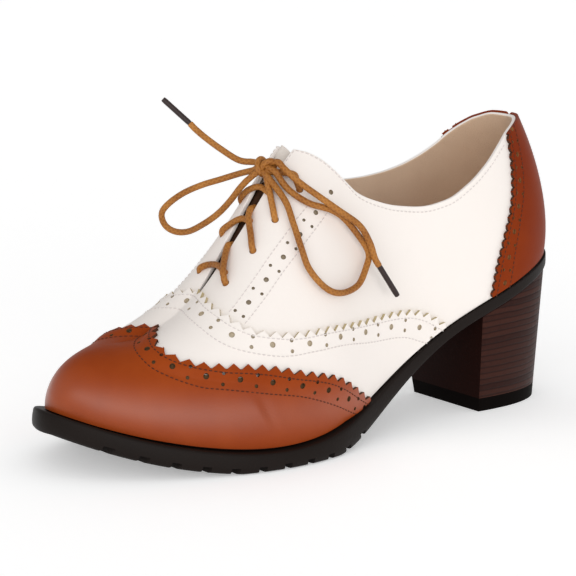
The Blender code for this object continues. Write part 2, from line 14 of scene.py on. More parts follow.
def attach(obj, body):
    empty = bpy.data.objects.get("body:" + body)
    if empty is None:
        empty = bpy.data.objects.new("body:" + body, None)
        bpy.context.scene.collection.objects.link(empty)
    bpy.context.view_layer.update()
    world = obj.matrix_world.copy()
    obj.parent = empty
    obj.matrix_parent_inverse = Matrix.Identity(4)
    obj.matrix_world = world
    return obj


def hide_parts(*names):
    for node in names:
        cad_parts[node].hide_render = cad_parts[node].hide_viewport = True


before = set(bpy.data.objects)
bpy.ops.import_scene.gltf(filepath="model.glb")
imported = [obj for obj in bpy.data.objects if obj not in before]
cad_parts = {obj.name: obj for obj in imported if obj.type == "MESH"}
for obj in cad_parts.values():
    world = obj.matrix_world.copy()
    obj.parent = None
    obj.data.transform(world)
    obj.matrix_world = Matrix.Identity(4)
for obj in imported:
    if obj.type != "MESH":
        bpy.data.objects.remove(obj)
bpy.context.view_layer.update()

# Insole: a board cut to the bottom of the last and covered with a sock of beige lining leather.
# The last is the foot form that the whole shoe is built over, so its sections stand here.
MM = 0.001
ORIGIN = np.array((125.0, 1.546, 0.0))      # the part's origin, measured from the back of the heel
GAP = 0.3
WALL = 1.8                                  # the upper with its lining
WELD = 0.00002
COLUMNS = (
    "x", "centre", "half", "seat", "under", "ledge", "spine_y", "ridge", "round", "inner", "rise", "swell",
)
SECTIONS = np.array([
    (0.0,   0.0,  0.0, 65.5, 60.5, 2.4,  0.0, 165.0, 1.18, 1.18, 2.0, 0.30),
    (2.5,   0.0,  9.5, 65.0, 60.0, 2.4,  0.0, 165.0, 1.22, 1.22, 2.0, 0.30),
    (10.0,  0.0, 18.5, 63.2, 58.2, 2.4,  0.0, 163.0, 1.40, 1.40, 2.0, 0.30),
    (24.0,  0.2, 25.5, 59.0, 54.0, 2.2,  0.0, 160.0, 1.80, 1.80, 2.0, 0.30),
    (44.0,  0.8, 28.0, 52.0, 47.0, 1.6,  0.0, 155.0, 2.15, 2.15, 2.0, 0.32),
    (68.0,  1.5, 26.5, 42.5, 37.5, 1.4,  0.0, 149.0, 2.15, 2.15, 2.0, 0.34),
    (92.0,  2.6, 25.2, 29.8, 23.0, 2.2,  0.0, 141.0, 2.00, 2.00, 2.0, 0.34),
    (116.0, 3.6, 29.6, 17.8,  8.8, 2.8,  0.0, 130.0, 1.80, 1.80, 1.9, 0.30),
    (138.0, 4.0, 37.0, 10.6,  0.6, 3.2,  0.0, 116.0, 1.70, 1.70, 1.9, 0.20),
    (158.0, 3.0, 41.8,  7.6, -0.8, 3.5, -0.2,  97.0, 1.70, 1.62, 1.9, 0.12),
    (178.0, 1.2, 43.0,  7.4, -0.7, 3.7, -0.8,  77.6, 1.80, 1.52, 2.0, 0.08),
    (198.0, -1.0, 40.2, 9.6,  1.2, 3.9, -1.6,  60.6, 2.00, 1.72, 2.1, 0.06),
    (217.0, -2.6, 34.0, 13.6, 4.9, 4.1, -2.6,  50.8, 2.20, 2.08, 2.2, 0.06),
    (232.0, -3.6, 25.0, 18.0, 9.2, 4.4, -3.4,  46.7, 2.30, 2.30, 2.2, 0.06),
    (243.0, -4.0, 13.5, 22.0, 13.2, 4.4, -3.9, 45.1, 2.40, 2.40, 2.2, 0.06),
    (248.0, -4.0,  0.0, 24.0, 15.2, 4.4, -4.0, 44.7, 2.40, 2.40, 2.2, 0.06),
])
TOE = len(SECTIONS) - 1
SPINE_HEEL = 55.0
SPINE_TOE = 212.0
MEETING_ANGLE = np.radians(78.0)            # above this the normals of the two sides blend into one
MIRRORED = 3                                # rows repeated past each end, so that both sides meet smoothly


def spline_bends(values):
    """Second differences of the cubic spline through the rows, with free ends."""
    count = len(values)
    system = np.eye(count)
    right = np.zeros_like(values)
    for row in range(1, count - 1):
        system[row, row - 1:row + 2] = (1.0, 4.0, 1.0)
        right[row] = 6.0 * (values[row - 1] - 2.0 * values[row] + values[row + 1])
    return np.linalg.solve(system, right)


flip = np.where(np.array(COLUMNS) == "half", -1.0, 1.0)
KNOTS = np.concatenate([
    SECTIONS[MIRRORED:0:-1] * flip,
    SECTIONS,
    SECTIONS[-2:-2 - MIRRORED:-1] * flip,
])
BENDS = spline_bends(KNOTS)


def section(number):
    """Every column of the last at a section number, which may lie between two rows."""
    number = np.asarray(number, float)
    low = np.clip(np.floor(number).astype(int), 1 - MIRRORED, TOE + MIRRORED - 2)
    part = (number - low)[..., None]
    row = low + MIRRORED
    straight = KNOTS[row] * (1.0 - part) + KNOTS[row + 1] * part
    bend = (2.0 - part) * BENDS[row] + (1.0 + part) * BENDS[row + 1]
    values = straight - part * (1.0 - part) / 6.0 * bend
    named = {name: values[..., column] for column, name in enumerate(COLUMNS)}
    named["spine_x"] = SPINE_HEEL + (SPINE_TOE - SPINE_HEEL) * named["x"] / SECTIONS[-1, 0]
    return named


DENSE = section(np.linspace(0.0, TOE, 600))


def height_at(column, x):
    """Height of the sole's top (seat) or underside (under) at a distance from the heel back."""
    return np.interp(x, DENSE["x"], DENSE[column])


def edge_point(number, side, inset):
    """Plan position of the sole's edge, moved in toward the spine by inset."""
    at = section(number)
    reach_x = at["x"] - at["spine_x"]
    reach_y = at["centre"] + side * at["half"] - at["spine_y"]
    keep = 1.0 - inset / np.hypot(reach_x, reach_y)
    return at["spine_x"] + reach_x * keep, at["spine_y"] + reach_y * keep


def roundness(at, side):
    """How round the section's arch is on a side."""
    return np.where(np.asarray(side) > 0.0, at["round"], at["inner"])


def wall_point(number, angle, side):
    """Point of the last: angle 0 at the sole and pi/2 on the ridge, side +1 outer and -1 inner."""
    at = section(number)
    foot_x, foot_y = edge_point(number, side, at["ledge"])
    climb = np.sin(angle) ** (2.0 / at["rise"])
    reach = np.cos(angle) ** (2.0 / roundness(at, side)) + at["swell"] * climb * (1.0 - climb) ** 4
    start = height_at("seat", foot_x) + GAP
    x = at["spine_x"] + (foot_x - at["spine_x"]) * reach
    y = at["spine_y"] + (foot_y - at["spine_y"]) * reach
    return np.stack([x, y, start + (at["ridge"] - start) * climb], -1)


def wall_normal(number, angle, side):
    """Outward normal of the last, taken no higher than where the two sides start to meet."""
    step = 0.001
    inside = np.clip(angle, 2.0 * step, MEETING_ANGLE)
    along = wall_point(number + step, inside, side) - wall_point(number - step, inside, side)
    upward = wall_point(number, inside + step, side) - wall_point(number, inside - step, side)
    normal = -np.asarray(side)[..., None] * np.cross(along, upward)
    return normal / np.linalg.norm(normal, axis=-1, keepdims=True)


def last_point(number, angle, side, offset=0.0):
    """Point at a distance outside the last, along its normal, and never lower than the sole's top."""
    number, angle, side = np.broadcast_arrays(number, angle, np.asarray(side, float))
    shared = np.clip((angle - MEETING_ANGLE) / (pi / 2.0 - MEETING_ANGLE), 0.0, 1.0)[..., None] / 2.0
    own = wall_normal(number, angle, side)
    normal = own * (1.0 - shared) + wall_normal(number, angle, -side) * shared
    point = wall_point(number, angle, side) + np.asarray(offset)[..., None] * normal
    point[..., 2] = np.maximum(point[..., 2], height_at("seat", point[..., 0]) + GAP)
    return point


def runs(*stretches):
    """Section numbers along stretches, each given by its ends and its number of steps."""
    parts = [np.linspace(low, high, steps, endpoint=False) for low, high, steps in stretches]
    return np.concatenate(parts + [[stretches[-1][1]]])


def section_rings(numbers, wall):
    """Rings round a piece, each down its wall on a section's outer side and back up on the inner side."""
    return [wall(number, 1) + wall(number, -1)[::-1] for number in numbers]


def metres(points):
    """Points of the shoe in the part's own frame."""
    return (np.asarray(points, float) - ORIGIN) * MM


def grid_mesh(name, columns, ring=False):
    """A mesh of quads over columns of points, welded where its edges meet."""
    columns = metres(columns)
    count, rows = columns.shape[:2]
    index = np.arange(count * rows).reshape(count, rows)
    if ring:
        index = np.concatenate([index, index[:, :1]], 1)
    corners = (index[:-1, :-1], index[:-1, 1:], index[1:, 1:], index[1:, :-1])
    mesh = bpy.data.meshes.new(name)
    mesh.from_pydata(columns.reshape(-1, 3).tolist(), [], np.stack(corners, -1).reshape(-1, 4).tolist())
    shape = bmesh.new()
    shape.from_mesh(mesh)
    bmesh.ops.remove_doubles(shape, verts=shape.verts, dist=WELD)
    if ring:
        bmesh.ops.holes_fill(shape, edges=[edge for edge in shape.edges if edge.is_boundary])
        bmesh.ops.recalc_face_normals(shape, faces=shape.faces)
    shape.to_mesh(mesh)
    shape.free()
    return mesh


def piece(name, mesh, *looks):
    """A new object of this mesh in these looks."""
    item = bpy.data.objects.new(name, mesh)
    for look in looks:
        mesh.materials.append(look)
    bpy.context.scene.collection.objects.link(item)
    return item


def smooth(item, degrees=40.0):
    """Turn an object's modifiers into plain mesh, shaded smooth between its sharp edges."""
    graph = bpy.context.evaluated_depsgraph_get()
    made = bpy.data.meshes.new_from_object(item.evaluated_get(graph))
    item.modifiers.clear()
    item.data = made
    made.shade_smooth()
    made.set_sharp_from_angle(angle=np.radians(degrees))
    return item


def round_edges(item, width):
    """Round a piece's sharp edges."""
    bevel = item.modifiers.new("round", "BEVEL")
    bevel.width = width * MM
    bevel.segments = 3
    bevel.limit_method = "ANGLE"
    bevel.angle_limit = np.radians(50.0)


class Wire:
    """A socket of a node tree. Sums and products of wires add Math nodes to the tree."""

    def __init__(self, tree, socket=None):
        self.tree = tree
        self.socket = socket

    def node(self, kind, settings=None, sockets=None, output=0):
        """Add a node of any kind, its settings first and then its sockets, and give one output."""
        made = self.tree.nodes.new(kind)
        for name, value in (settings or {}).items():
            setattr(made, name, value)
        for name, value in (sockets or {}).items():
            for wire in value if isinstance(value, list) else [value]:
                if isinstance(wire, Wire):
                    self.tree.links.new(wire.socket, made.inputs[name])
                else:
                    made.inputs[name].default_value = wire
        return Wire(self.tree, made.outputs[output])

    def other(self, output):
        """Another output of the same node."""
        return Wire(self.tree, self.socket.node.outputs[output])

    def maths(self, operation, first, second=0.0):
        """A sum, product or other function of one or two values."""
        return self.node("ShaderNodeMath", {"operation": operation}, {0: first, 1: second})

    def vectors(self, operation, first, second):
        """A product or other function of two vectors."""
        return self.node("ShaderNodeVectorMath", {"operation": operation}, {0: first, 1: second})

    def clamped(self):
        """This wire's value, kept between 0 and 1."""
        return self.node("ShaderNodeClamp", {}, {"Value": self})

    def mix(self, first, second):
        """A colour between two, by this wire's value."""
        sockets = {0: self, 6: first, 7: second}
        return self.node("ShaderNodeMix", {"data_type": "RGBA"}, sockets, 2)

    def __add__(self, other):
        return self.maths("ADD", self, other)

    def __radd__(self, other):
        return self.maths("ADD", other, self)

    def __sub__(self, other):
        return self.maths("SUBTRACT", self, other)

    def __rsub__(self, other):
        return self.maths("SUBTRACT", other, self)

    def __mul__(self, other):
        return self.maths("MULTIPLY", self, other)

    def __rmul__(self, other):
        return self.maths("MULTIPLY", other, self)

    def __truediv__(self, other):
        return self.maths("DIVIDE", self, other)


def new_look(name, **constants):
    """A material with its shader's constant sockets set, its shader and a wire of the place on a piece."""
    look = bpy.data.materials.new(name)
    look.use_nodes = True
    shader = look.node_tree.nodes["Principled BSDF"]
    for socket, value in constants.items():
        shader.inputs[socket.replace("_", " ")].default_value = value
    place = Wire(look.node_tree).node("ShaderNodeTexCoord", output="Object")
    return look, shader, place


def dress(shader, colour, roughness=None, height=None, depth=0.0, coat=None):
    """Feed a shader's varying sockets: colour, roughness, coat and a bump of this depth in metres."""
    feeds = {"Base Color": colour, "Roughness": roughness, "Coat Weight": coat}
    if height is not None:
        sockets = {"Strength": 1.0, "Distance": depth, "Height": height}
        feeds["Normal"] = height.node("ShaderNodeBump", {}, sockets)
    for socket, wire in feeds.items():
        if wire is not None:
            wire.tree.links.new(wire.socket, shader.inputs[socket])


def noise(place, scale, detail=3.0):
    """Soft noise with this many waves to a metre."""
    return place.node("ShaderNodeTexNoise", {}, {"Vector": place, "Scale": scale, "Detail": detail})


def rgb(red, green, blue):
    """A colour as a screen shows it, from 0 to 255, as the shader takes it."""
    shares = np.array((red, green, blue)) / 255.0
    light = np.where(shares <= 0.04045, shares / 12.92, ((shares + 0.055) / 1.055) ** 2.4)
    return (*light.tolist(), 1.0)


LINING_PALE = rgb(231, 203, 175)
LINING_DARK = rgb(207, 175, 146)


def lining_look():
    """Beige lining leather with a suede nap: soft blotches and a fine tooth."""
    look, shader, place = new_look("lining_suede", Roughness=0.9, Sheen_Weight=0.25)
    blotch = noise(place, 60.0, 4.0)
    nap = noise(place, 2600.0, 2.0)
    colour = (blotch * 0.75 + nap * 0.35 - 0.05).clamped().mix(LINING_DARK, LINING_PALE)
    dress(shader, colour, None, nap, 0.00025)
    return look


LINING = lining_look()
INSOLE_THICKNESS = 2.0
INSOLE_CLEARANCE = 0.6


def insole_wall(number, side):
    """The top and the bottom edge of the insole on a side of a section."""
    x, y = last_point(number, 0.0, side, -WALL - INSOLE_CLEARANCE)[:2]
    low = height_at("seat", x) + GAP
    return [(x, y, low + INSOLE_THICKNESS), (x, y, low)]


insole_rings = section_rings(runs((0.0, 2.0, 16), (2.0, 12.0, 60), (12.0, TOE, 24)), insole_wall)
insole = piece("insole_sock", grid_mesh("insole_sock", insole_rings, ring=True), LINING)
round_edges(insole, 0.6)
smooth(insole)
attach(insole, "root")
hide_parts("insole")

# Outsole: one moulding of satin black rubber, cemented under the lasted upper. A thin rand runs round
# the heel seat and the waist and grows into a thick forefoot with cross lugs.
SOLE_BULGE = 2.2
RAND_BULGE = 0.35
SOLE_UNDERCUT = 0.7
WAIST = (70.0, 140.0)           # between these places the rand grows into the forefoot
SOLE_PROFILE = np.array([       # share of the height below the top edge, swell and tuck there
    (0.0, 0.3, 0.0), (0.015, 0.5, 0.0), (0.05, 0.66, 0.0), (0.12, 0.76, 0.0), (0.4, 0.94, 0.0),
    (0.65, 1.0, 0.0), (0.85, 0.94, 0.0), (0.94, 0.78, 0.1), (0.985, 0.45, 0.5), (1.0, 0.1, 1.0),
])
LUG_PITCH = 11.0
LUG_GROOVE = 3.4
LUG_DEPTH = 2.5
LUG_FIRST = 126.0               # place of the first groove
LUG_COUNT = 11
LUG_REACH = 140.0               # the cutters are longer than the sole is wide


def rubber_look(name, dark, pale, shine, gloss):
    """Black rubber with a faint moulded grain and dull patches; gloss is its index of refraction."""
    look, shader, place = new_look(name, IOR=gloss)
    patch = noise(place, 45.0, 3.0)
    grain = noise(place, 1500.0, 2.0)
    dress(shader, patch.mix(dark, pale), patch * 0.16 + shine, grain, 0.00006)
    return look


def node_group(name, *inputs):
    """A geometry tree with these inputs. Gives it with a wire for each input."""
    tree = bpy.data.node_groups.new(name, "GeometryNodeTree")
    tree.interface.new_socket("Geometry", in_out="INPUT", socket_type="NodeSocketGeometry")
    for label in inputs:
        tree.interface.new_socket(label, in_out="INPUT", socket_type="NodeSocketFloat")
    tree.interface.new_socket("Look", in_out="INPUT", socket_type="NodeSocketMaterial")
    tree.interface.new_socket("Geometry", in_out="OUTPUT", socket_type="NodeSocketGeometry")
    entry = tree.nodes.new("NodeGroupInput")
    return tree, {socket.name: Wire(tree, socket) for socket in entry.outputs if socket.name}


def close_group(tree, parts, look):
    """End a geometry tree: join its parts, realize them and give them their look."""
    start = Wire(tree)
    joined = start.node("GeometryNodeJoinGeometry", {}, {"Geometry": parts})
    real = start.node("GeometryNodeRealizeInstances", {}, {"Geometry": joined})
    made = start.node("GeometryNodeSetMaterial", {}, {"Geometry": real, "Material": look})
    tree.links.new(made.socket, tree.nodes.new("NodeGroupOutput").inputs["Geometry"])


def grow(name, mesh, tree, look, **inputs):
    """Run a geometry tree over a mesh with these inputs and keep the plain result."""
    item = piece(name, mesh)
    modifier = item.modifiers.new("grow", "NODES")
    modifier.node_group = tree
    for socket in tree.interface.items_tree:
        if socket.in_out == "INPUT" and socket.name == "Look":
            modifier[socket.identifier] = look
        elif socket.in_out == "INPUT" and socket.name in inputs:
            modifier[socket.identifier] = inputs[socket.name]
    return smooth(item)


def path_mesh(name, *lines):
    """Lines of edges, each given by its points and the directions away from the surface there."""
    edges = []
    count = 0
    for points, _ in lines:
        edges += [(place, place + 1) for place in range(count, count + len(points) - 1)]
        count += len(points)
    mesh = bpy.data.meshes.new(name)
    mesh.from_pydata(metres(np.concatenate([points for points, _ in lines])).tolist(), edges, [])
    up = mesh.attributes.new("up", "FLOAT_VECTOR", "POINT")
    directions = np.concatenate([ups for _, ups in lines]).astype(np.float32)
    up.data.foreach_set("vector", directions.ravel())
    return mesh


def off_surface(wire):
    """The direction away from the surface that a path's points keep."""
    return wire.node("GeometryNodeInputNamedAttribute", {"data_type": "FLOAT_VECTOR"}, {"Name": "up"})


def points_on_path(wires, spacing):
    """Points spaced along a path, with the turn that lays x along it and z away from the surface."""
    start = wires["Geometry"]
    curve = start.node("GeometryNodeMeshToCurve", {}, {"Mesh": start})
    points = start.node(
        "GeometryNodeCurveToPoints", {"mode": "LENGTH"}, {"Curve": curve, "Length": spacing})
    axes = {"Primary Axis": off_surface(start), "Secondary Axis": points.other("Tangent")}
    turn = start.node("FunctionNodeAxesToRotation", {"primary_axis": "Z", "secondary_axis": "X"}, axes)
    return points, turn


def punch(item, cutters):
    """Cut a piece with a mesh of punches, whose finish the cut walls take."""
    cut = item.modifiers.new("punch", "BOOLEAN")
    cut.operation = "DIFFERENCE"
    cut.solver = "MANIFOLD"
    cut.material_mode = "TRANSFER"
    cut.object = cutters
    smooth(item)
    bpy.data.objects.remove(cutters, do_unlink=True)


SOLE_RUBBER = rubber_look("sole_rubber_look", rgb(23, 17, 14), rgb(32, 25, 22), 0.42, 1.2)


def sole_wall(number, side):
    """The profile of the sole's edge on a side of a section, from its top edge down."""
    at = section(number)
    forefoot = np.clip((at["x"] - WAIST[0]) / (WAIST[1] - WAIST[0]), 0.0, 1.0)
    bulge = RAND_BULGE + (SOLE_BULGE - RAND_BULGE) * forefoot
    wall = []
    for drop, swell, tuck in SOLE_PROFILE:
        x, y = edge_point(number, side, SOLE_UNDERCUT * tuck - bulge * swell)
        low = max(0.0, height_at("under", x))
        wall.append((x, y, at["seat"] + (low - at["seat"]) * drop))
    return wall


sole_rings = section_rings(runs((0.0, 2.0, 20), (2.0, 8.0, 50), (8.0, TOE, 80)), sole_wall)
sole = piece("sole_unit", grid_mesh("sole_unit", sole_rings, ring=True), SOLE_RUBBER)

lug_tree, lug = node_group("lug_grooves", "Pitch", "Groove", "Depth", "Reach")
lug_points, lug_turn = points_on_path(lug, lug["Pitch"])
lug_size = lug_points.node(
    "ShaderNodeCombineXYZ", {}, {0: lug["Groove"], 1: lug["Reach"], 2: lug["Depth"] * 2.0})
lug_box = lug_points.node("GeometryNodeMeshCube", {}, {"Size": lug_size})
lug_cuts = lug_points.node(
    "GeometryNodeInstanceOnPoints", {}, {"Points": lug_points, "Instance": lug_box, "Rotation": lug_turn})
close_group(lug_tree, [lug_cuts], lug["Look"])
lug_x = LUG_FIRST + np.arange(LUG_COUNT) * LUG_PITCH
lug_z = np.maximum(0.0, height_at("under", lug_x))
lug_line = np.stack([lug_x, np.zeros(LUG_COUNT), lug_z], -1)
lug_slope = np.gradient(lug_z, lug_x)
lug_ups = np.stack([-lug_slope, np.zeros(LUG_COUNT), np.ones(LUG_COUNT)], -1)
grooves = grow(
    "lug_cutters", path_mesh("lug_line", (lug_line, lug_ups)), lug_tree, SOLE_RUBBER,
    Pitch=LUG_PITCH * MM, Groove=LUG_GROOVE * MM, Depth=LUG_DEPTH * MM, Reach=LUG_REACH * MM)
punch(sole, grooves)
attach(sole, "root")
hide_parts("outsole")

# Heel: a block of stacked leather layers, turned to shape and stained dark brown, on a black rubber
# top piece that takes the wear. Its flat breast faces the arch; its near-black colour is painted shade.
HEEL_BREAST = 54.0
HEEL_INSET = 0.5
HEEL_FOOT_BACK = 2.0
HEEL_FOOT_FRONT = 48.5
HEEL_FOOT_NARROWING = 0.765
HEEL_END = 4.42                 # section number at the breast
TOP_PIECE = 6.0
LAYER = 2.6
BREAST_FACES = 0.9              # faces turned this far to the front are the breast


def heel_rings(bottom, top=None):
    """Rings of a heel layer between two heights. With no top it reaches up to the sole."""
    shrink = (HEEL_FOOT_FRONT - HEEL_FOOT_BACK) / (HEEL_BREAST - HEEL_INSET)

    def wall(number, side):
        x, y = edge_point(number, side, HEEL_INSET)
        seat = height_at("under", x) - GAP
        foot_x = HEEL_FOOT_BACK + (x - HEEL_INSET) * shrink
        corners = []
        for level in (seat if top is None else top, bottom):
            share = 1.0 - level / seat
            corners.append((x + (foot_x - x) * share, y + (y * HEEL_FOOT_NARROWING - y) * share, level))
        return corners

    return section_rings(runs((0.0, 2.0, 18), (2.0, HEEL_END, 22)), wall)


def plain_look(name, dark, pale, roughness, shine=0.3):
    """A plain finish with a slight variation, for stain, thread, cut edges, the walls of holes and painted
    shade.
    """
    look, shader, place = new_look(name, Specular_IOR_Level=shine)
    grain = noise(place, 900.0, 3.0)
    dress(shader, grain.mix(dark, pale), grain * 0.1 + roughness, grain, 0.00008)
    return look


# The breast's near-black colour is painted shade, for the shade that falls on it under the arch.
SHADED_BREAST = plain_look("breast_painted_shade", rgb(21, 6, 3), rgb(34, 12, 8), 0.5, 0.03)


def stacked_look():
    """Dark stained leather layers with fine uneven lines between them."""
    look, shader, place = new_look("stacked_leather", IOR=1.15)
    wobble = noise(place, 45.0, 3.0)
    height = place.node("ShaderNodeSeparateXYZ", {}, {"Vector": place}, "Z")
    level = (height + wobble * 0.0018) / (LAYER * MM)
    layer = level.maths("FLOOR", level)
    tint = layer.node("ShaderNodeTexWhiteNoise", {"noise_dimensions": "1D"}, {"W": layer}, "Value")
    part = level - layer
    line = (1.0 - (part - 0.5).maths("ABSOLUTE", part - 0.5) * 2.0) * 2.2
    line = 1.0 - line.clamped()
    grain = noise(place, 420.0, 4.0)
    body = (tint * 0.6 + grain * 0.5 - 0.1).clamped().mix(rgb(40, 18, 14), rgb(66, 36, 28))
    colour = (line * 0.7).mix(body, rgb(24, 11, 9))
    dress(shader, colour, grain * 0.2 + 0.36, grain * 0.3 - line, 0.00012)
    return look


heel_mesh = grid_mesh("stacked_heel_block", heel_rings(TOP_PIECE), ring=True)
heel = piece("stacked_heel_block", heel_mesh, stacked_look(), SHADED_BREAST)
for face in heel_mesh.polygons:
    face.material_index = int(face.normal.x > BREAST_FACES)
round_edges(heel, 0.5)
smooth(heel)
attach(heel, "root")
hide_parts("heel")
top_piece = piece(
    "heel_top_rubber", grid_mesh("heel_top_rubber", heel_rings(0.0, TOP_PIECE), ring=True),
    rubber_look("heel_rubber_look", rgb(10, 7, 6), rgb(17, 13, 12), 0.4, 1.06))
round_edges(top_piece, 0.4)
smooth(top_piece)
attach(top_piece, "root")
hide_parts("heel_top_piece")

# Upper: smooth white leather quarters, cut in one with the facings, lined with beige suede and folded
# in along the topline. The eyestays carry a strip of punched holes between two rows of stitches.
COLLAR = np.array([             # section number, height on the outer and the inner side
    (0.0, 123.5, 123.5), (1.0, 123.6, 123.7), (2.0, 122.7, 121.4), (2.5, 121.5, 118.7),
    (3.0, 119.2, 114.7), (3.5, 114.2, 109.2), (4.0, 107.0, 104.6), (4.5, 99.6, 101.3),
    (5.0, 93.8, 99.5), (5.5, 91.8, 98.9), (6.0, 93.0, 99.1), (6.5, 96.4, 100.1), (6.8, 99.9, 102.0),
    (7.0, 105.0, 105.2), (7.2, 110.3, 109.8), (7.4, 114.2, 113.8), (7.6, 116.4, 116.2),
    (7.75, 117.1, 117.1), (7.9, 117.4, 117.4),
])
THROAT_TOP = 7.9
THROAT_END = 11.0
THROAT_STEP = 0.001             # the slit closes in this last bit of a section
THROAT_HALF_TOP = 3.4
THROAT_HALF_END = 0.5
THROAT_PULLED = 2.2             # the outer facing is pulled back by this much at its top
EYELETS = (     # section number, degrees on the outer and the inner side
    (8.10,  63.0, 66.0),
    (8.85,  65.5, 72.0),
    (9.54,  66.8, 73.2),
    (10.32, 69.8, 74.2),
)
EYELET = 3.0
EYELET_DEPTH = 4.0
EYELET_PITCH = 20.0             # longer than the line of a spot, so that each spot gets one hole
SPOT = 0.01                     # section numbers that the line of a spot is long
UPPER_ROWS = 56                 # points up each side of its mesh
EYESTAY_FRONT = ((8.0, 56.0), (8.6, 57.0), (9.25, 57.5), (9.8, 56.6), (10.42, 55.0))
EYESTAY_REAR = ((7.62, 53.5), (7.5, 50.2), (7.85, 48.5), (9.0, 48.5), (9.6, 46.9), (10.15, 44.8))
EYESTAY_STRIP = ((7.41, 52.5), (7.94, 52.0), (8.46, 52.0), (8.96, 52.2), (9.46, 52.0), (10.25, 50.4))
TOPLINE_START = 3.4
TOPLINE_SEAM = 1.4              # degrees below the edge
TOPLINE_END = 8.3
SHADOW_LINE_FROM = 122.0             # under the tan toe cap the upper's lowest strip is a dark brown painted shadow line
SHADOW_LINE_HEIGHT = 1.6
STRIP_HOLES = {"Depth": 1.2, "Pitch": 11.4, "Large": 2.1, "Small": 1.35, "Spread": 4.1}
PUNCH_ABOVE = 0.8               # a punch stands this share of its depth above the leather
STITCH = 2.0
STITCH_LENGTH = 1.6
STITCH_RAISED = 0.05            # pale thread stands this much higher than half sunk
THREAD = 0.5


def smooth_table(table, place, column=1):
    """A column of a short table at a place of its first one, on a curve that doesn't overshoot its rows."""
    places = table[:, 0]
    values = table[:, column]
    slopes = np.diff(values) / np.diff(places)
    tangents = np.concatenate([slopes[:1], np.zeros(len(slopes) - 1), slopes[-1:]])
    for row in range(1, len(slopes)):
        if slopes[row - 1] * slopes[row] > 0.0:
            tangents[row] = 2.0 * slopes[row - 1] * slopes[row] / (slopes[row - 1] + slopes[row])
    row = np.clip(np.searchsorted(places, place, side="right") - 1, 0, len(slopes) - 1)
    width = places[row + 1] - places[row]
    t = (place - places[row]) / width
    level = values[row] * (1.0 + 2.0 * t) * (1.0 - t) ** 2 + values[row + 1] * t ** 2 * (3.0 - 2.0 * t)
    return level + width * t * (1.0 - t) * (tangents[row] * (1.0 - t) - tangents[row + 1] * t)


def top_angle(number, side):
    """Where the upper's wall ends: at the collar, at the slit's edge, or on the ridge."""
    number = np.asarray(number, float)
    at = section(number)
    foot_x, foot_y = edge_point(number, side, at["ledge"])
    start = height_at("seat", foot_x) + GAP
    height = smooth_table(COLLAR, np.minimum(number, THROAT_TOP), 1 if side > 0 else 2)
    climb = np.clip((height - start) / (at["ridge"] - start), 0.0, 1.0)
    collar = np.where(number < THROAT_TOP, np.arcsin(climb ** (at["rise"] / 2.0)), pi / 2.0)
    part = np.clip((number - THROAT_TOP) / (THROAT_END - THROAT_TOP), -1.0, 1.0)
    half_gap = THROAT_HALF_TOP + (THROAT_HALF_END - THROAT_HALF_TOP) * part
    if side > 0:
        half_gap = half_gap + THROAT_PULLED * (1.0 - np.clip(part, 0.0, 1.0) ** 3)
    reach = np.hypot(foot_x - at["spine_x"], foot_y - at["spine_y"])
    slit = np.arccos(np.clip(half_gap / reach, 0.0, 1.0) ** (roundness(at, side) / 2.0))
    slit = np.where(number < THROAT_END, slit, pi / 2.0)
    return np.minimum(collar, slit)


def leather(name, columns, thickness, *looks):
    """A leather piece: a grid of points on its outer face, thickened inward."""
    item = piece(name, grid_mesh(name, columns), *looks)
    solid = item.modifiers.new("thickness", "SOLIDIFY")
    solid.thickness = thickness * MM
    solid.offset = -1.0
    solid.use_even_offset = True
    solid.use_quality_normals = True
    return item


def white_look():
    """Smooth white leather with a satin finish, a faint grain and a slightly warmer shade in patches."""
    look, shader, place = new_look(
        "white_leather_look", Specular_IOR_Level=0.35, Coat_Weight=0.1, Coat_Roughness=0.3)
    cloud = noise(place, 22.0, 3.0)
    cells = place.node("ShaderNodeTexVoronoi", {"feature": "SMOOTH_F1"}, {"Vector": place, "Scale": 1100.0})
    grain = cells * 0.7 + noise(place, 2400.0, 2.0) * 0.3
    colour = cloud.mix(rgb(242, 234, 227), rgb(248, 241, 236))
    dress(shader, colour, cloud * 0.1 + 0.4, grain, 0.00005)
    return look


WHITE = white_look()
# Holes' walls and floors are darker than the leather: partly its cut edge, partly painted shade in the hole.
HOLE_SHADE = plain_look("punched_wall_and_shade", rgb(150, 136, 114), rgb(180, 166, 146), 0.8)
# Dark brown painted shadow for the foot of the upper under the toe cap, where the cap meets the sole.
SHADOW_LINE = plain_look("painted_shadow_line", rgb(52, 24, 12), rgb(74, 36, 20), 0.8)
WHITE_THREAD = plain_look("pale_thread", rgb(212, 204, 200), rgb(230, 223, 219), 0.7)

punch_tree, marks = node_group(
    "brogue_punches", "Pitch", "Large", "Small", "Spread", "Depth", "Alternate", "First")
spots, spot_turn = points_on_path(marks, marks["Pitch"] / 2.0)
order = spots.node("GeometryNodeInputIndex")
odd = order.maths("MODULO", order + marks["First"], 2.0) * marks["Alternate"]
across = spots.vectors("CROSS_PRODUCT", off_surface(spots), spots.other("Tangent"))
sink = spots.node("ShaderNodeCombineXYZ", {}, {2: marks["Depth"] * ((PUNCH_ABOVE - 1.0) / 2.0)})
punches = []
for size, share, chosen in (("Large", 0.0, 1.0 - odd), ("Small", 0.5, odd), ("Small", -0.5, odd)):
    rod = spots.node("GeometryNodeMeshCylinder", {}, {
        "Vertices": 14, "Radius": marks[size] / 2.0, "Depth": marks["Depth"] * (1.0 + PUNCH_ABOVE)})
    rod = spots.node("GeometryNodeTransform", {}, {"Geometry": rod, "Translation": sink})
    step = spots.node(
        "ShaderNodeVectorMath", {"operation": "SCALE"}, {0: across, "Scale": marks["Spread"] * share})
    moved = spots.node("GeometryNodeSetPosition", {}, {"Geometry": spots, "Offset": step})
    punches.append(spots.node("GeometryNodeInstanceOnPoints", {}, {
        "Points": moved, "Selection": chosen, "Instance": rod, "Rotation": spot_turn}))
close_group(punch_tree, punches, marks["Look"])

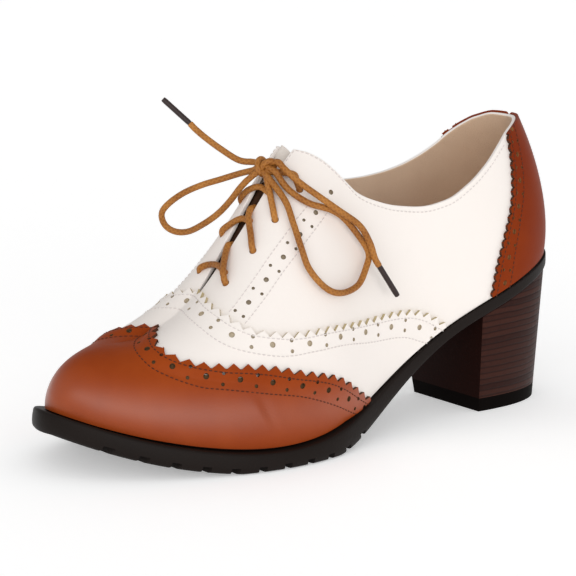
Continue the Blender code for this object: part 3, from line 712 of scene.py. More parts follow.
stitch_tree, sewn = node_group("stitches", "Pitch", "Length", "Width")
sewn_points, sewn_turn = points_on_path(sewn, sewn["Pitch"])
bead = sewn_points.node("GeometryNodeMeshUVSphere", {}, {"Segments": 8, "Rings": 5, "Radius": 0.5})
bead_size = sewn_points.node(
    "ShaderNodeCombineXYZ", {}, {0: sewn["Length"], 1: sewn["Width"], 2: sewn["Width"]})
close_group(stitch_tree, [sewn_points.node("GeometryNodeInstanceOnPoints", {}, {
    "Points": sewn_points, "Instance": bead, "Rotation": sewn_turn, "Scale": bead_size})], sewn["Look"])


def smooth_curve(points, step=0.0, count=0):
    """Evenly spaced points, by a step or a count of them, on a smooth curve through a few points."""
    points = np.array(points, float)
    ends = np.concatenate([[2.0 * points[0] - points[1]], points, [2.0 * points[-1] - points[-2]]])
    t = np.linspace(0.0, 1.0, 20, endpoint=False)[:, None]
    curve = []
    for before, start, stop, after in zip(ends, ends[1:], ends[2:], ends[3:]):
        bow = (2.0 * before - 5.0 * start + 4.0 * stop - after) * t ** 2
        twist = (3.0 * start - before - 3.0 * stop + after) * t ** 3
        curve.append(start + 0.5 * ((stop - before) * t + bow + twist))
    return evenly(np.concatenate(curve + [points[-1:]]), step, count)


def evenly(curve, step=0.0, count=0):
    """The points of a curve, spaced evenly along it."""
    along = np.concatenate([[0.0], np.cumsum(np.linalg.norm(np.diff(curve, axis=0), axis=1))])
    places = np.linspace(0.0, along[-1], count or max(2, round(along[-1] / step)) + 1)
    return np.stack([np.interp(places, along, column) for column in curve.T], -1)


ON_LAST = np.array((20.0, 0.9))     # about how many millimetres a section number and a degree are
LINE_POINTS = 260


def line_on_last(rows):
    """A smooth line over the last through rows of section number and degrees."""
    return smooth_curve(np.array(rows) * ON_LAST, count=LINE_POINTS) / ON_LAST


def seam(line, side, offset):
    """Points and upward directions of a line of section numbers and degrees, raised by offset."""
    angles = np.radians(line[:, 1])
    points = last_point(line[:, 0], angles, side, offset)
    ups = last_point(line[:, 0], angles, side, np.asarray(offset) + 1.0) - points
    ups[np.linalg.norm(ups, axis=1) < 0.2] = (0.0, 0.0, 1.0)
    return points, ups


def sew(name, look, *lines):
    """Rows of stitches along lines, half sunk in the leather."""
    inputs = {"Pitch": STITCH * MM, "Length": STITCH_LENGTH * MM, "Width": THREAD * MM}
    rows = grow(name, path_mesh(name, *lines), stitch_tree, look, **inputs)
    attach(rows, "root")
    return rows


def perforate(item, look, sizes, *lines, first=0.0):
    """Punch rows of blind holes of these sizes: a large one, then two small ones side by side, and so on.

    With first at 1 a row starts with two small ones.
    """
    inputs = {name: size * MM for name, size in sizes.items()}
    inputs.update({"Alternate": 1.0, "First": first})
    punch(item, grow("punches", path_mesh("punch_line", *lines), punch_tree, look, **inputs))


upper_columns = []
for side in (-1, 1):
    numbers = runs(
        (0.0, 2.0, 24), (2.0, 6.4, 60), (6.4, 7.6, 26), (7.6, 8.1, 24), (8.1, THROAT_END - THROAT_STEP, 60),
        (THROAT_END, TOE, 50))
    tops = top_angle(numbers, side)[:, None]
    half = last_point(numbers[:, None], np.linspace(0.0, 1.0, UPPER_ROWS) * tops, side)
    upper_columns.append(half[::-1] if side < 0 else half[1:])
upper = leather("upper_leather", np.concatenate(upper_columns), WALL, WHITE, LINING, SHADOW_LINE, LINING)
# The lowest faces under the toe cap take the painted shadow line.
for face in upper.data.polygons:
    x, _, z = np.array(face.center) / MM + ORIGIN
    face.material_index = 2 if x > SHADOW_LINE_FROM and z < height_at("seat", x) + SHADOW_LINE_HEIGHT else 0
upper.modifiers["thickness"].material_offset = 1
round_edges(upper, 0.6)
smooth(upper)

strip_lines = []
eyelet_spots = []
white_seams = []
for side in (1, -1):
    strip_lines.append(seam(line_on_last(EYESTAY_STRIP), side, 0.0))
    white_seams.append(seam(line_on_last(EYESTAY_FRONT), side, STITCH_RAISED))
    white_seams.append(seam(line_on_last(EYESTAY_REAR), side, STITCH_RAISED))
    topline = np.linspace(TOPLINE_START, TOPLINE_END, LINE_POINTS)
    below = np.degrees(top_angle(topline, side)) - TOPLINE_SEAM
    white_seams.append(seam(np.stack([topline, below], -1), side, STITCH_RAISED))
    for number, outer, inner in EYELETS:
        degrees = outer if side > 0 else inner
        eyelet_spots.append(seam(np.array([(number, degrees), (number + SPOT, degrees)]), side, 0.0))
perforate(upper, HOLE_SHADE, STRIP_HOLES, *strip_lines)
punch(upper, grow(
    "eyelet_punches", path_mesh("eyelet_spots", *eyelet_spots), punch_tree, HOLE_SHADE,
    Pitch=EYELET_PITCH * MM, Large=EYELET * MM, Depth=EYELET_DEPTH * MM, Alternate=0.0))
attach(upper, "root")
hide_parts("upper")

# Tongue: a strip of leather, lined in beige, sewn in under the vamp's throat. It is pale at its top,
# between the tabs, and dark brown below, painted shade where it closes the slit between the facings.
TONGUE_GAP = 0.8
TONGUE_THICKNESS = 1.6
TONGUE_TOP = 7.85
TONGUE_END = 11.6
TONGUE_SIDE = 55.0
TONGUE_SWELL = 2.0              # it swells up between the facings at its top
TONGUE_HOLLOW = 3.6             # and lies lower in the slit below
TONGUE_CHANGE = (8.1, 8.5)      # section numbers between which the swell turns into the hollow
SLIT_DEGREES = 6.0              # about half the width of both
TONGUE_PALE = 147.0             # behind this place its face is pale, before it dark brown painted shade


def over_ridge(line, offset):
    """A seam from the outer side over the ridge to the inner side."""
    offset = np.broadcast_to(offset, len(line))
    both = np.concatenate([line, line[-2::-1]])
    sides = np.concatenate([np.ones(len(line)), -np.ones(len(line) - 1)])
    return seam(both, sides, np.concatenate([offset, offset[-2::-1]]))


tongue_degrees = np.linspace(TONGUE_SIDE, 90.0, 40)
slit_shape = np.exp(-((90.0 - tongue_degrees) / SLIT_DEGREES) ** 2)
tongue_columns = []
for number in np.linspace(TONGUE_TOP, TONGUE_END, 50):
    part = np.clip((TONGUE_CHANGE[1] - number) / (TONGUE_CHANGE[1] - TONGUE_CHANGE[0]), 0.0, 1.0)
    level = (TONGUE_SWELL * part - TONGUE_HOLLOW * (1.0 - part)) * slit_shape - WALL - TONGUE_GAP
    line = np.stack([np.full(len(tongue_degrees), number), tongue_degrees], -1)
    tongue_columns.append(over_ridge(line, level)[0])
TONGUE_TIP = plain_look("pale_tongue", rgb(208, 199, 190), rgb(226, 218, 210), 0.7)
# Down in the slit the tongue is coloured dark brown: painted shade.
TONGUE_SHADE = plain_look("tongue_painted_shade", rgb(58, 38, 27), rgb(84, 58, 42), 0.9, 0.1)
tongue = leather(
    "tongue_leather", tongue_columns, TONGUE_THICKNESS, TONGUE_TIP, LINING, TONGUE_SHADE, LINING)
for face in tongue.data.polygons:
    face.material_index = 2 if face.center.x > metres((TONGUE_PALE, 0.0, 0.0))[0] else 0
tongue.modifiers["thickness"].material_offset = 1
round_edges(tongue, 0.5)
smooth(tongue)
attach(tongue, "root")
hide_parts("tongue")

# Vamp layer: a white leather wing cut with a pinked edge, sewn over the upper with two rows of pale
# thread. A band of punched holes runs between the rows, and its front edge goes under the toe cap.
VAMP_THICKNESS = 1.3
VAMP_OFFSET = 1.4               # its outer face over the upper
FEATHER = 0.7                   # degrees at which the overlays start, just clear of the sole
UNDER_CAP = 0.2                 # section numbers by which it goes on under the cap
VAMP_EDGE = np.array([          # degrees and section number
    (0.0, 5.1), (8.5, 5.75), (16.5, 6.75), (23.5, 8.0), (32.0, 9.3),
    (40.0, 10.0), (52.0, 10.45), (70.0, 10.76), (90.0, 10.84),
])
CAP_EDGE = np.array([           # the same for the toe cap, which this layer goes under
    (0.0, 7.0), (12.0, 8.05), (22.0, 9.35), (32.0, 10.55),
    (40.0, 11.3), (50.0, 11.85), (64.0, 12.22), (90.0, 12.35),
])
VAMP_SEAM = (                   # the lower row of stitches: section number and degrees
    (5.65, 0.8), (6.35, 8.0), (7.5, 16.0), (8.65, 22.0), (9.65, 27.5), (10.45, 37.0), (10.95, 50.0),
    (11.32, 70.0), (11.48, 90.0),
)
VAMP_FIRST_SEAM = 0.3           # share of the way from the edge to the lower row where the upper row runs
HOLE_BAND = 0.55                # and the holes, on the vamp and on the cap
VAMP_HOLES = {"Depth": 1.0, "Pitch": 16.3, "Large": 2.4, "Small": 1.6, "Spread": 4.2}
VAMP_HOLES_FROM = 3             # point of the line through the holes at which they start
VAMP_TOOTH = 5.0
TOOTH_HEIGHT = 2.4
NOTCH_DEPTH = 6.0               # of the cutters, more than any leather
NOTCH_HALF = 0.49               # of the pitch, so that two cutters stay apart
STRAIGHT = 0.7071               # waist of a notch cut with straight sides
# The vamp's hole walls and floors are beige-brown: partly the cut edge, partly painted shade in the hole.
PALE_HOLE_SHADE = plain_look("punched_vamp_wall_and_shade", rgb(180, 167, 143), rgb(210, 197, 176), 0.8)
PALE_CUT = plain_look("cut_white_leather", rgb(176, 160, 122), rgb(205, 190, 152), 0.8)

notch_tree, notch = node_group("edge_notches", "Pitch", "Height", "Waist", "Depth")
notch_points, notch_turn = points_on_path(notch, notch["Pitch"])
blade = notch_points.node("GeometryNodeMeshCylinder", {}, {"Vertices": 8, "Radius": 1.0, "Depth": 1.0})
blade_order = notch_points.node("GeometryNodeInputIndex")
waist = 1.0 - blade_order.maths("MODULO", blade_order, 2.0) * (1.0 - notch["Waist"])
slim = notch_points.node("ShaderNodeCombineXYZ", {}, {0: waist, 1: waist, 2: 1.0})
blade_place = notch_points.node("GeometryNodeInputPosition")
blade_place = blade_place.vectors("MULTIPLY", blade_place, slim)
blade = notch_points.node("GeometryNodeSetPosition", {}, {"Geometry": blade, "Position": blade_place})
blade_size = notch_points.node(
    "ShaderNodeCombineXYZ", {}, {0: notch["Pitch"] * NOTCH_HALF, 1: notch["Height"], 2: notch["Depth"]})
blades = notch_points.node("GeometryNodeInstanceOnPoints", {}, {
    "Points": notch_points, "Instance": blade, "Rotation": notch_turn, "Scale": blade_size})
close_group(notch_tree, [blades], notch["Look"])


def pink(item, look, pitch, height, waist_share, *lines):
    """Cut notches into a piece's edge, whose cut faces take a look."""
    inputs = {"Pitch": pitch * MM, "Height": height * MM, "Waist": waist_share}
    inputs["Depth"] = NOTCH_DEPTH * MM
    punch(item, grow("notches", path_mesh("edge_line", *lines), notch_tree, look, **inputs))


def edge_line(table):
    """The outer half of a panel's edge, from the sole up to the ridge."""
    degrees = np.linspace(FEATHER, 90.0, 500)
    line = np.stack([smooth_table(table, degrees), degrees], -1)
    return evenly(line * ON_LAST, count=LINE_POINTS) / ON_LAST


def between(edge, lower, share):
    """A line of a panel at a share of the way from its edge to its lower row of stitches."""
    return edge * (1.0 - share) + lower * share


def panel_degrees(rows):
    """Degrees from the sole to the ridge, closer together low on the side."""
    return FEATHER + (90.0 - FEATHER) * np.linspace(0.0, 1.0, rows) ** 1.4


vamp_degrees = panel_degrees(90)
vamp_rear = smooth_table(VAMP_EDGE, vamp_degrees)
vamp_front = smooth_table(CAP_EDGE, vamp_degrees) + UNDER_CAP
vamp_columns = []
for share in np.linspace(0.0, 1.0, 40):
    numbers = vamp_rear + (vamp_front - vamp_rear) * share
    vamp_columns.append(over_ridge(np.stack([numbers, vamp_degrees], -1), VAMP_OFFSET)[0])
vamp = leather("vamp_layer", vamp_columns, VAMP_THICKNESS, WHITE)
smooth(vamp)
vamp_edge = edge_line(VAMP_EDGE)
vamp_seam = line_on_last(VAMP_SEAM)
pink(vamp, PALE_CUT, VAMP_TOOTH, TOOTH_HEIGHT, STRAIGHT, over_ridge(vamp_edge, VAMP_OFFSET))
vamp_band = between(vamp_edge, vamp_seam, HOLE_BAND)[VAMP_HOLES_FROM:]
perforate(vamp, PALE_HOLE_SHADE, VAMP_HOLES, over_ridge(vamp_band, VAMP_OFFSET), first=1.0)
for share in (VAMP_FIRST_SEAM, 1.0):
    white_seams.append(over_ridge(between(vamp_edge, vamp_seam, share), VAMP_OFFSET + STITCH_RAISED))
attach(vamp, "root")
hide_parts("vamp")
white_stitches = sew("stitches_white", WHITE_THREAD, *white_seams)

# Toe cap: a wing of polished tan leather with a pinked edge, lasted over the toe and sewn over the
# vamp layer with two rows of dark thread, again with a band of punched holes between them.
CAP_THICKNESS = 1.3
CAP_OFFSET = 1.4
CAP_LAP = 1.35                  # it stands this much higher where it lies over the vamp layer
CAP_TOOTH = 5.66
CAP_FIRST_SEAM = 0.33
CAP_HOLES = {"Depth": 1.1, "Pitch": 13.2, "Large": 2.3, "Small": 1.5, "Spread": 4.2}
POLISH_REACH = (155.0, 240.0)   # along the flank a polished band rises to the toe between these places
POLISH_HEIGHT = 20.5
POLISH_RISE = 10.0
POLISH_WIDTH = 7.5
LAP = (6.0, 18.0)               # how far from its edge it steps down past the vamp layer
CREASES = (     # side, section number and degrees of both ends, width, and depth or, below 0, height
    (1, 10.1, 17.0, 9.76, 5.5, 1.4, 0.6),
    (1, 10.27, 18.0, 9.97, 6.0, 3.0, -0.4),
    (1, 9.6, 11.0, 9.35, 5.0, 2.0, 0.22),
    (-1, 10.4, 17.0, 9.9, 5.0, 1.8, 0.4),
)
CAP_SEAM = (                    # the lower row of stitches: section number and degrees
    (7.6, 0.8), (8.3, 7.0), (9.1, 13.0), (10.0, 18.0), (10.85, 24.0), (11.35, 28.0), (11.95, 36.5),
    (12.5, 48.0), (13.05, 68.0), (13.35, 90.0),
)
DARK_CUT = plain_look("cut_tan_leather", rgb(58, 30, 16), rgb(88, 48, 26), 0.8)
# The cap's hole walls and floors are dark brown: partly the cut edge, partly painted shade in the hole.
DARK_HOLE_SHADE = plain_look("punched_tan_wall_and_shade", rgb(70, 50, 30), rgb(104, 78, 48), 0.8)
TAN_THREAD = plain_look("dark_thread", rgb(62, 26, 12), rgb(92, 42, 20), 0.6)


def tan_look(name, dark, pale):
    """Tan leather: a warm brown, clouded a little darker, with a faint grain and a polished flank."""
    look, shader, place = new_look(name, IOR=1.12, Coat_Roughness=0.36)
    cloud = noise(place, 26.0, 4.0)
    fine = noise(place, 140.0, 3.0)
    cells = place.node("ShaderNodeTexVoronoi", {"feature": "SMOOTH_F1"}, {"Vector": place, "Scale": 1300.0})
    shade = (cloud * 1.5 + fine * 0.5 - 0.5).clamped()
    colour = shade.mix(dark, pale)
    along = place.node("ShaderNodeSeparateXYZ", {}, {"Vector": place}, "X")
    first, last = ((reach - ORIGIN[0]) * MM for reach in POLISH_REACH)
    share = ((along - first) / (last - first)).clamped()
    away = (along.other("Z") - share * share * (POLISH_RISE * MM) - POLISH_HEIGHT * MM) / (POLISH_WIDTH * MM)
    polish = away.maths("EXPONENT", away * away * -1.0)
    dress(shader, colour, fine * 0.14 + 0.34, cells * 0.6 + fine * 0.4, 0.00005, polish)
    return look


TAN = tan_look("tan_leather_look", rgb(138, 54, 15), rgb(158, 69, 24))


def cap_offset(numbers, degrees):
    """How far the cap's outer face stands off the upper: more over the vamp layer's edge."""
    rear = smooth_table(CAP_EDGE, degrees)
    part = np.clip(((numbers - rear) * ON_LAST[0] - LAP[0]) / (LAP[1] - LAP[0]), 0.0, 1.0)
    return CAP_OFFSET + CAP_LAP * (1.0 - part * part * (3.0 - 2.0 * part))


def crease_depth(numbers, degrees, side):
    """How deep the creases of a side are at points of the last. Each fades out toward its ends."""
    depth = np.zeros(numbers.shape)
    for on_side, number, start, other, stop, width, deep in CREASES:
        if on_side == side:
            first = np.array((number, start)) * ON_LAST
            way = np.array((other, stop)) * ON_LAST - first
            reach = np.stack([numbers, degrees], -1) * ON_LAST - first
            part = np.clip(reach @ way / (way @ way), 0.0, 1.0)
            apart = np.linalg.norm(reach - part[..., None] * way, axis=-1)
            depth += deep * np.exp(-(apart / width) ** 2) * np.sin(pi * (0.15 + 0.7 * part))
    return depth


cap_degrees = panel_degrees(90)
cap_rear = smooth_table(CAP_EDGE, cap_degrees)
cap_numbers = cap_rear + (TOE - cap_rear) * np.linspace(0.0, 1.0, 90)[:, None] ** 1.2
cap_halves = []
for side in (1, -1):
    degrees = np.broadcast_to(cap_degrees, cap_numbers.shape)
    offset = cap_offset(cap_numbers, degrees) - crease_depth(cap_numbers, degrees, side)
    cap_halves.append(last_point(cap_numbers, np.radians(degrees), side, offset))
cap_columns = np.concatenate([cap_halves[0], cap_halves[1][-2::-1]])
cap = leather("toe_cap_leather", cap_columns, CAP_THICKNESS, TAN)
smooth(cap)
cap_edge = edge_line(CAP_EDGE)
cap_seam = line_on_last(CAP_SEAM)


def cap_line(share):
    """A line over the cap at a share of the way from its edge to its lower row of stitches."""
    line = between(cap_edge, cap_seam, share)
    return over_ridge(line, cap_offset(line[:, 0], line[:, 1]))


pink(cap, DARK_CUT, CAP_TOOTH, TOOTH_HEIGHT, STRAIGHT, cap_line(0.0))
perforate(cap, DARK_HOLE_SHADE, CAP_HOLES, cap_line(HOLE_BAND))
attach(cap, "root")
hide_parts("toe_cap")

# Counter: two tan leather quarters joined in a seam down the back of the heel, their front edges
# scalloped and punched. They stiffen the heel and are sewn on with dark thread.
COUNTER_EDGE = np.array([       # share of the height from the sole to the collar, and section number
    (0.0, 4.25), (0.2, 4.18), (0.4, 3.95), (0.6, 3.6), (0.8, 3.37), (1.0, 3.18),
])
COUNTER_REACH = (0.02, 1.0)     # shares of the height between which it is cut
COUNTER_LINE_END = 0.995        # and at which its lines of holes and stitches end
COUNTER_BAND = 6.0              # how far in from its front edge the holes run
COUNTER_SEAMS = (2.6, 9.6)      # and the two rows of stitches
COUNTER_HOLES = {"Depth": 1.1, "Pitch": 10.5, "Large": 2.2, "Small": 1.4, "Spread": 4.0}
COUNTER_HOLES_FROM = 14         # point of the line through the holes at which they start
BACK_GROOVE = (0.5, 0.09)       # depth of the back seam, and its width in section numbers
BACK_NOTCH = (0.02, 0.12)       # the dip at its top, as a share of the height, and its width
SCALLOP = 3.5
SCALLOP_HEIGHT = 1.3
SCALLOP_WAIST = 0.5


def counter_point(place, share, raised=0.0):
    """Points of the counter: place from -1 on the inner edge to +1 on the outer, share of the height."""
    side = np.where(place > 0.0, 1.0, -1.0)
    number = smooth_table(COUNTER_EDGE, share) * np.abs(place)
    tops = np.where(side > 0.0, top_angle(number, 1), top_angle(number, -1))
    groove = BACK_GROOVE[0] * np.exp(-(number / BACK_GROOVE[1]) ** 2)
    notched = share * (1.0 - BACK_NOTCH[0] * np.exp(-(number / BACK_NOTCH[1]) ** 2))
    return last_point(number, tops * notched, side, CAP_OFFSET - groove + raised)


def counter_lines(inward):
    """Lines up both sides of the counter, this far in from its front edges."""
    shares = np.linspace(COUNTER_REACH[0], COUNTER_LINE_END, LINE_POINTS)
    reach = 1.0 - inward / ON_LAST[0] / smooth_table(COUNTER_EDGE, shares)
    lines = []
    for place in (reach, -reach):
        points = counter_point(place, shares)
        lines.append((points, counter_point(place, shares, 1.0) - points))
    return lines


counter_places = np.concatenate([-np.linspace(1.0, 0.0, 70) ** 1.3, np.linspace(0.0, 1.0, 70)[1:] ** 1.3])
counter_shares = np.linspace(*COUNTER_REACH, 60)
counter_columns = counter_point(*np.broadcast_arrays(counter_places[:, None], counter_shares))
# The counter's hole walls and floors are mid-brown: partly the cut edge, partly painted shade in the hole.
COUNTER_HOLE_SHADE = plain_look("punched_counter_wall_and_shade", rgb(126, 82, 46), rgb(160, 112, 70), 0.8)
# The counter takes a darker copy of the tan: painted shade, as it faces away from the lights.
COUNTER_TAN_SHADED = tan_look("tan_counter_shaded_look", rgb(120, 40, 6), rgb(138, 53, 12))
counter = leather("counter_leather", counter_columns, CAP_THICKNESS, COUNTER_TAN_SHADED)
smooth(counter)
pink(counter, DARK_CUT, SCALLOP, SCALLOP_HEIGHT, SCALLOP_WAIST, *counter_lines(0.0))
counter_bands = []
for points, ups in counter_lines(COUNTER_BAND):
    counter_bands.append((points[COUNTER_HOLES_FROM:], ups[COUNTER_HOLES_FROM:]))
perforate(counter, COUNTER_HOLE_SHADE, COUNTER_HOLES, *counter_bands)
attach(counter, "root")
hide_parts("counter")
dark_seams = [cap_line(CAP_FIRST_SEAM), cap_line(1.0)]
for inward in COUNTER_SEAMS:
    dark_seams += counter_lines(inward)
dark_stitches = sew("stitches_dark", TAN_THREAD, *dark_seams)

# Lace: one round waxed cord, braided, honey brown. It comes up through each pair of lace holes,
# crosses over the slit and goes down into it, and a bow is tied over the top pair.
LACE = 2.6
LACE_RAISED = 1.5               # the cord's middle over the facing
LACE_OVERLAP = 1.3              # the outer strand of a crossing lies this much higher than the inner one
LACE_DEPTH = -2.6               # where it starts below a hole or goes down into the slit
LACING = (      # end of the outer strand, and the share of its way at which the inner one meets it
    (8.12, 90.0, 1.0),
    (8.60, 78.5, 0.7),
    (9.10, 84.5, 0.6),
    (9.84, 87.0, 0.2),
)
STRAND_OUT = ((0.0, LACE_DEPTH), (0.0, -0.3))       # up out of a hole: share of the way and lift
STRAND_FLAT = ((0.08, 1.2), (0.3, 1.1), (0.7, 1.1), (1.0, 1.2))         # an inner one, up to the outer
STRAND_TO_KNOT = ((0.12, LACE_RAISED - 0.2), (0.25, LACE_RAISED))       # one that runs into the knot
ROWS_TO_KNOT = {"outer": 2, "inner": 1}             # rows of holes whose strands run into the knot
STRANDS_IN_KNOT = {"outer": (0.8, 2.0, -1.5), "inner": (0.8, -1.0, -1.8)}      # from the knot's middle
BRAID_STRANDS = 4.0             # round the cord, each way
BRAID_LAY = 2.2                 # length of cord from strand to strand
CORD_SIDES = 12
ASIDE = (0.3, 0.1, 0.95)        # a direction in which no cord starts
KNOT = np.array((151.0, 3.0, 110.5))
KNOT_SLOPE = np.radians(48.0)   # of the throat under the knot
KNOT_PRESSED = 0.03             # taken off the cord's radius where it is pressed in the knot
KNOT_POINTS = 13                # of a turn round the knot
CORDS = {
    "lace_loop_inner": (
        (152.2, -2.6, 108.5), (154.7, -8.5, 106.6), (159.8, -14.0, 104.0), (164.8, -20.0, 101.3),
        (169.1, -27.0, 97.3), (172.1, -33.5, 92.0), (172.7, -36.5, 87.8), (170.9, -36.5, 83.2),
        (168.0, -33.5, 80.8), (165.4, -28.0, 81.4), (163.6, -20.5, 85.2), (160.9, -14.0, 90.2),
        (159.0, -8.5, 95.9), (157.5, -4.2, 101.4), (156.3, -1.2, 104.8)),
    "lace_loop_outer": (
        (150.0, 8.9, 109.4), (147.6, 14.6, 102.8), (142.3, 20.9, 97.8), (134.0, 24.3, 94.9),
        (127.7, 25.9, 90.7), (120.4, 27.8, 81.8), (117.6, 28.8, 76.4), (119.6, 30.1, 71.8),
        (126.0, 32.8, 65.2), (136.4, 35.1, 63.5), (144.0, 34.7, 66.4), (149.6, 31.4, 73.8),
        (150.6, 27.4, 81.7), (150.6, 22.0, 90.7), (150.4, 16.3, 98.7), (152.2, 7.2, 107.2)),
    "lace_end_inner": (
        (151.0, -3.6, 111.6), (154.5, -9.0, 112.0), (158.5, -16.0, 116.0), (161.5, -22.0, 119.9),
        (163.7, -26.0, 123.1), (164.8, -28.0, 125.1)),
    "lace_end_outer": (
        (148.7, 8.8, 113.0), (145.4, 17.0, 106.6), (139.9, 23.8, 100.8), (132.1, 27.8, 94.7),
        (123.3, 29.5, 88.4), (119.0, 31.0, 81.3), (117.2, 32.1, 75.1), (115.2, 32.4, 71.9)),
}
AGLET = 2.3
AGLET_END = 0.9                 # share of its width that is left at its rounded ends
AGLET_POINTS = 12
AGLET_TIPS = {"lace_end_inner": (171.9, -37.0, 134.5), "lace_end_outer": (105.8, 33.2, 58.8)}


def tube(name, centres, radii, look):
    """A round cord along its centres with flat ends, with a UV map of round it and along it."""
    centres = metres(centres)
    radii = np.broadcast_to(radii, len(centres)) * MM
    tangents = np.gradient(centres, axis=0)
    tangents /= np.linalg.norm(tangents, axis=1, keepdims=True)
    normal = np.cross(tangents[0], ASIDE)
    turns = np.arange(CORD_SIDES) / CORD_SIDES * 2.0 * pi
    rings = []
    for centre, tangent, radius in zip(centres, tangents, radii):
        normal = normal - tangent * (normal @ tangent)
        normal /= np.linalg.norm(normal)
        across = np.cross(tangent, normal)
        rings.append(centre + radius * (np.cos(turns)[:, None] * normal + np.sin(turns)[:, None] * across))
    count = len(centres)
    ring, place = np.meshgrid(np.arange(count - 1), np.arange(CORD_SIDES), indexing="ij")
    after = (place + 1) % CORD_SIDES
    here = ring * CORD_SIDES
    corners = (here + place, here + after, here + CORD_SIDES + after, here + CORD_SIDES + place)
    faces = np.stack(corners, -1).reshape(-1, 4).tolist()
    faces += [list(range(CORD_SIDES))[::-1], list(range((count - 1) * CORD_SIDES, count * CORD_SIDES))]
    mesh = bpy.data.meshes.new(name)
    mesh.from_pydata(np.concatenate(rings).tolist(), [], faces)
    along = np.concatenate([[0.0], np.cumsum(np.linalg.norm(np.diff(centres, axis=0), axis=1))]) / MM
    share = np.stack([place, place + 1, place + 1, place], -1) / CORD_SIDES
    length = np.stack([along[ring], along[ring], along[ring + 1], along[ring + 1]], -1)
    uv = np.concatenate([np.stack([share, length], -1).reshape(-1, 2), np.zeros((2 * CORD_SIDES, 2))])
    mesh.uv_layers.new(name="lay").data.foreach_set("uv", uv.ravel())
    return smooth(piece(name, mesh, look), 50.0)


def cord_look():
    """Waxed cord: two sets of strands braided round it, honey brown with painted shade between the strands.
    """
    look, shader, place = new_look("waxed_cord_look", Specular_IOR_Level=0.25)
    lay = place.node("ShaderNodeUVMap", {"uv_map": "lay"})
    parts = lay.node("ShaderNodeSeparateXYZ", {}, {"Vector": lay})
    round_it = parts * (2.0 * pi * BRAID_STRANDS)
    along_it = parts.other("Y") * (2.0 * pi / BRAID_LAY)
    ridges = []
    for turn in (1.0, -1.0):
        phase = round_it * turn + along_it
        ridges.append(phase.maths("SINE", phase))
    braid = ridges[0].maths("MAXIMUM", ridges[0], ridges[1])
    cloud = noise(place, 90.0, 3.0)
    shade = (braid * 0.14 + cloud * 1.2 - 0.1).clamped()
    colour = shade.mix(rgb(114, 56, 10), rgb(194, 132, 62))
    dress(shader, colour, cloud * 0.2 + 0.36, braid, 0.00008)
    return look


def over_throat(number, angle, lift):
    """Point over the facings: the angle runs from the inner side over the ridge (90) to the outer one."""
    side = -1.0 if angle < 90.0 else 1.0
    return last_point(number, np.radians(min(angle, 180.0 - angle)), side, lift)


def strand_route(start, end, lifts):
    """Points from a lace hole toward the slit: start and end give section number and angle."""
    way = end - start
    return [over_throat(*(start + way * share), lift) for share, lift in (*STRAND_OUT, *lifts)]


def strand_over(meeting):
    """Lifts of an outer strand: it rises over the inner one where they meet and goes down into the slit."""
    high = LACE_RAISED + LACE_OVERLAP
    rise = [(0.14 * meeting, LACE_RAISED - 0.2), (0.5 * meeting, LACE_RAISED + 0.4), (meeting, high)]
    return rise + [(0.5 + 0.45 * meeting, high - 0.8), (0.93, 0.7), (1.02, -1.0), (1.1, LACE_DEPTH)]


CORD = cord_look()
for count, ((number, outer, inner), (slit, slit_angle, meeting)) in enumerate(zip(EYELETS, LACING), 1):
    outer_hole = np.array((number, 180.0 - outer))
    slit_end = np.array((slit, 180.0 - slit_angle))
    crossing = outer_hole + (slit_end - outer_hole) * meeting
    strands = {
        "outer": (outer_hole, slit_end, strand_over(meeting)),
        "inner": (np.array((number, inner)), crossing, STRAND_FLAT),
    }
    for side, (hole, end, lifts) in strands.items():
        if count <= ROWS_TO_KNOT[side]:
            route = strand_route(hole, end, STRAND_TO_KNOT) + [KNOT + STRANDS_IN_KNOT[side]]
        else:
            route = strand_route(hole, end, lifts)
        strand = tube(f"lace_strand_{count}_{side}", smooth_curve(route, 0.7), LACE / 2.0, CORD)
        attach(strand, "root")
        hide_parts(f"lace_crossing_{count}")

down_throat = np.array((np.cos(KNOT_SLOPE), 0.0, -np.sin(KNOT_SLOPE)))
off_foot = np.array((np.sin(KNOT_SLOPE), 0.0, np.cos(KNOT_SLOPE)))


def knot_turn(middle, lean, along, high):
    """A turn of the cord round the knot, leaning sideways: its half sizes along the throat and off it."""
    turns = np.linspace(0.0, 2.0 * pi, KNOT_POINTS)[:, None]
    sideways = np.array((0.0, lean, 0.0)) * np.cos(turns)
    return KNOT + middle + down_throat * along * np.cos(turns) + off_foot * high * np.sin(turns) + sideways


def through_knot(first, middle, last):
    """A route from inside one cord through the knot into another, by the cords' first or last points."""
    ends = [np.array(CORDS[cord])[[place, place + step]] for cord, place, step in (first, last)]
    start, stop = (end[0] * 0.7 + end[1] * 0.3 for end in ends)
    return start, ends[0][0], KNOT + middle, ends[1][0], stop


knot_routes = {
    "knot_loops": through_knot(("lace_loop_inner", 0, 1), (0.6, 0.0, 0.4), ("lace_loop_outer", 0, 1)),
    "knot_under": through_knot(("lace_loop_inner", -1, -1), (2.0, 0.0, -1.6), ("lace_loop_outer", -1, -1)),
    "knot_ends": through_knot(("lace_end_inner", 0, 1), (-0.6, 0.0, 1.2), ("lace_end_outer", 0, 1)),
    "knot_wrap": knot_turn(np.array((0.2, -1.0, 0.0)), 1.6, 2.9, 2.7),
    "knot_fold": knot_turn(np.array((-0.6, 2.0, 0.3)), -1.4, 2.4, 2.2),
}
knot_parts = []
for name, route in knot_routes.items():
    part = tube(name, smooth_curve(route, 0.6), LACE / 2.0 - KNOT_PRESSED, CORD)
    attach(part, "root")
    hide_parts("lace_knot")
    knot_parts.append(part)

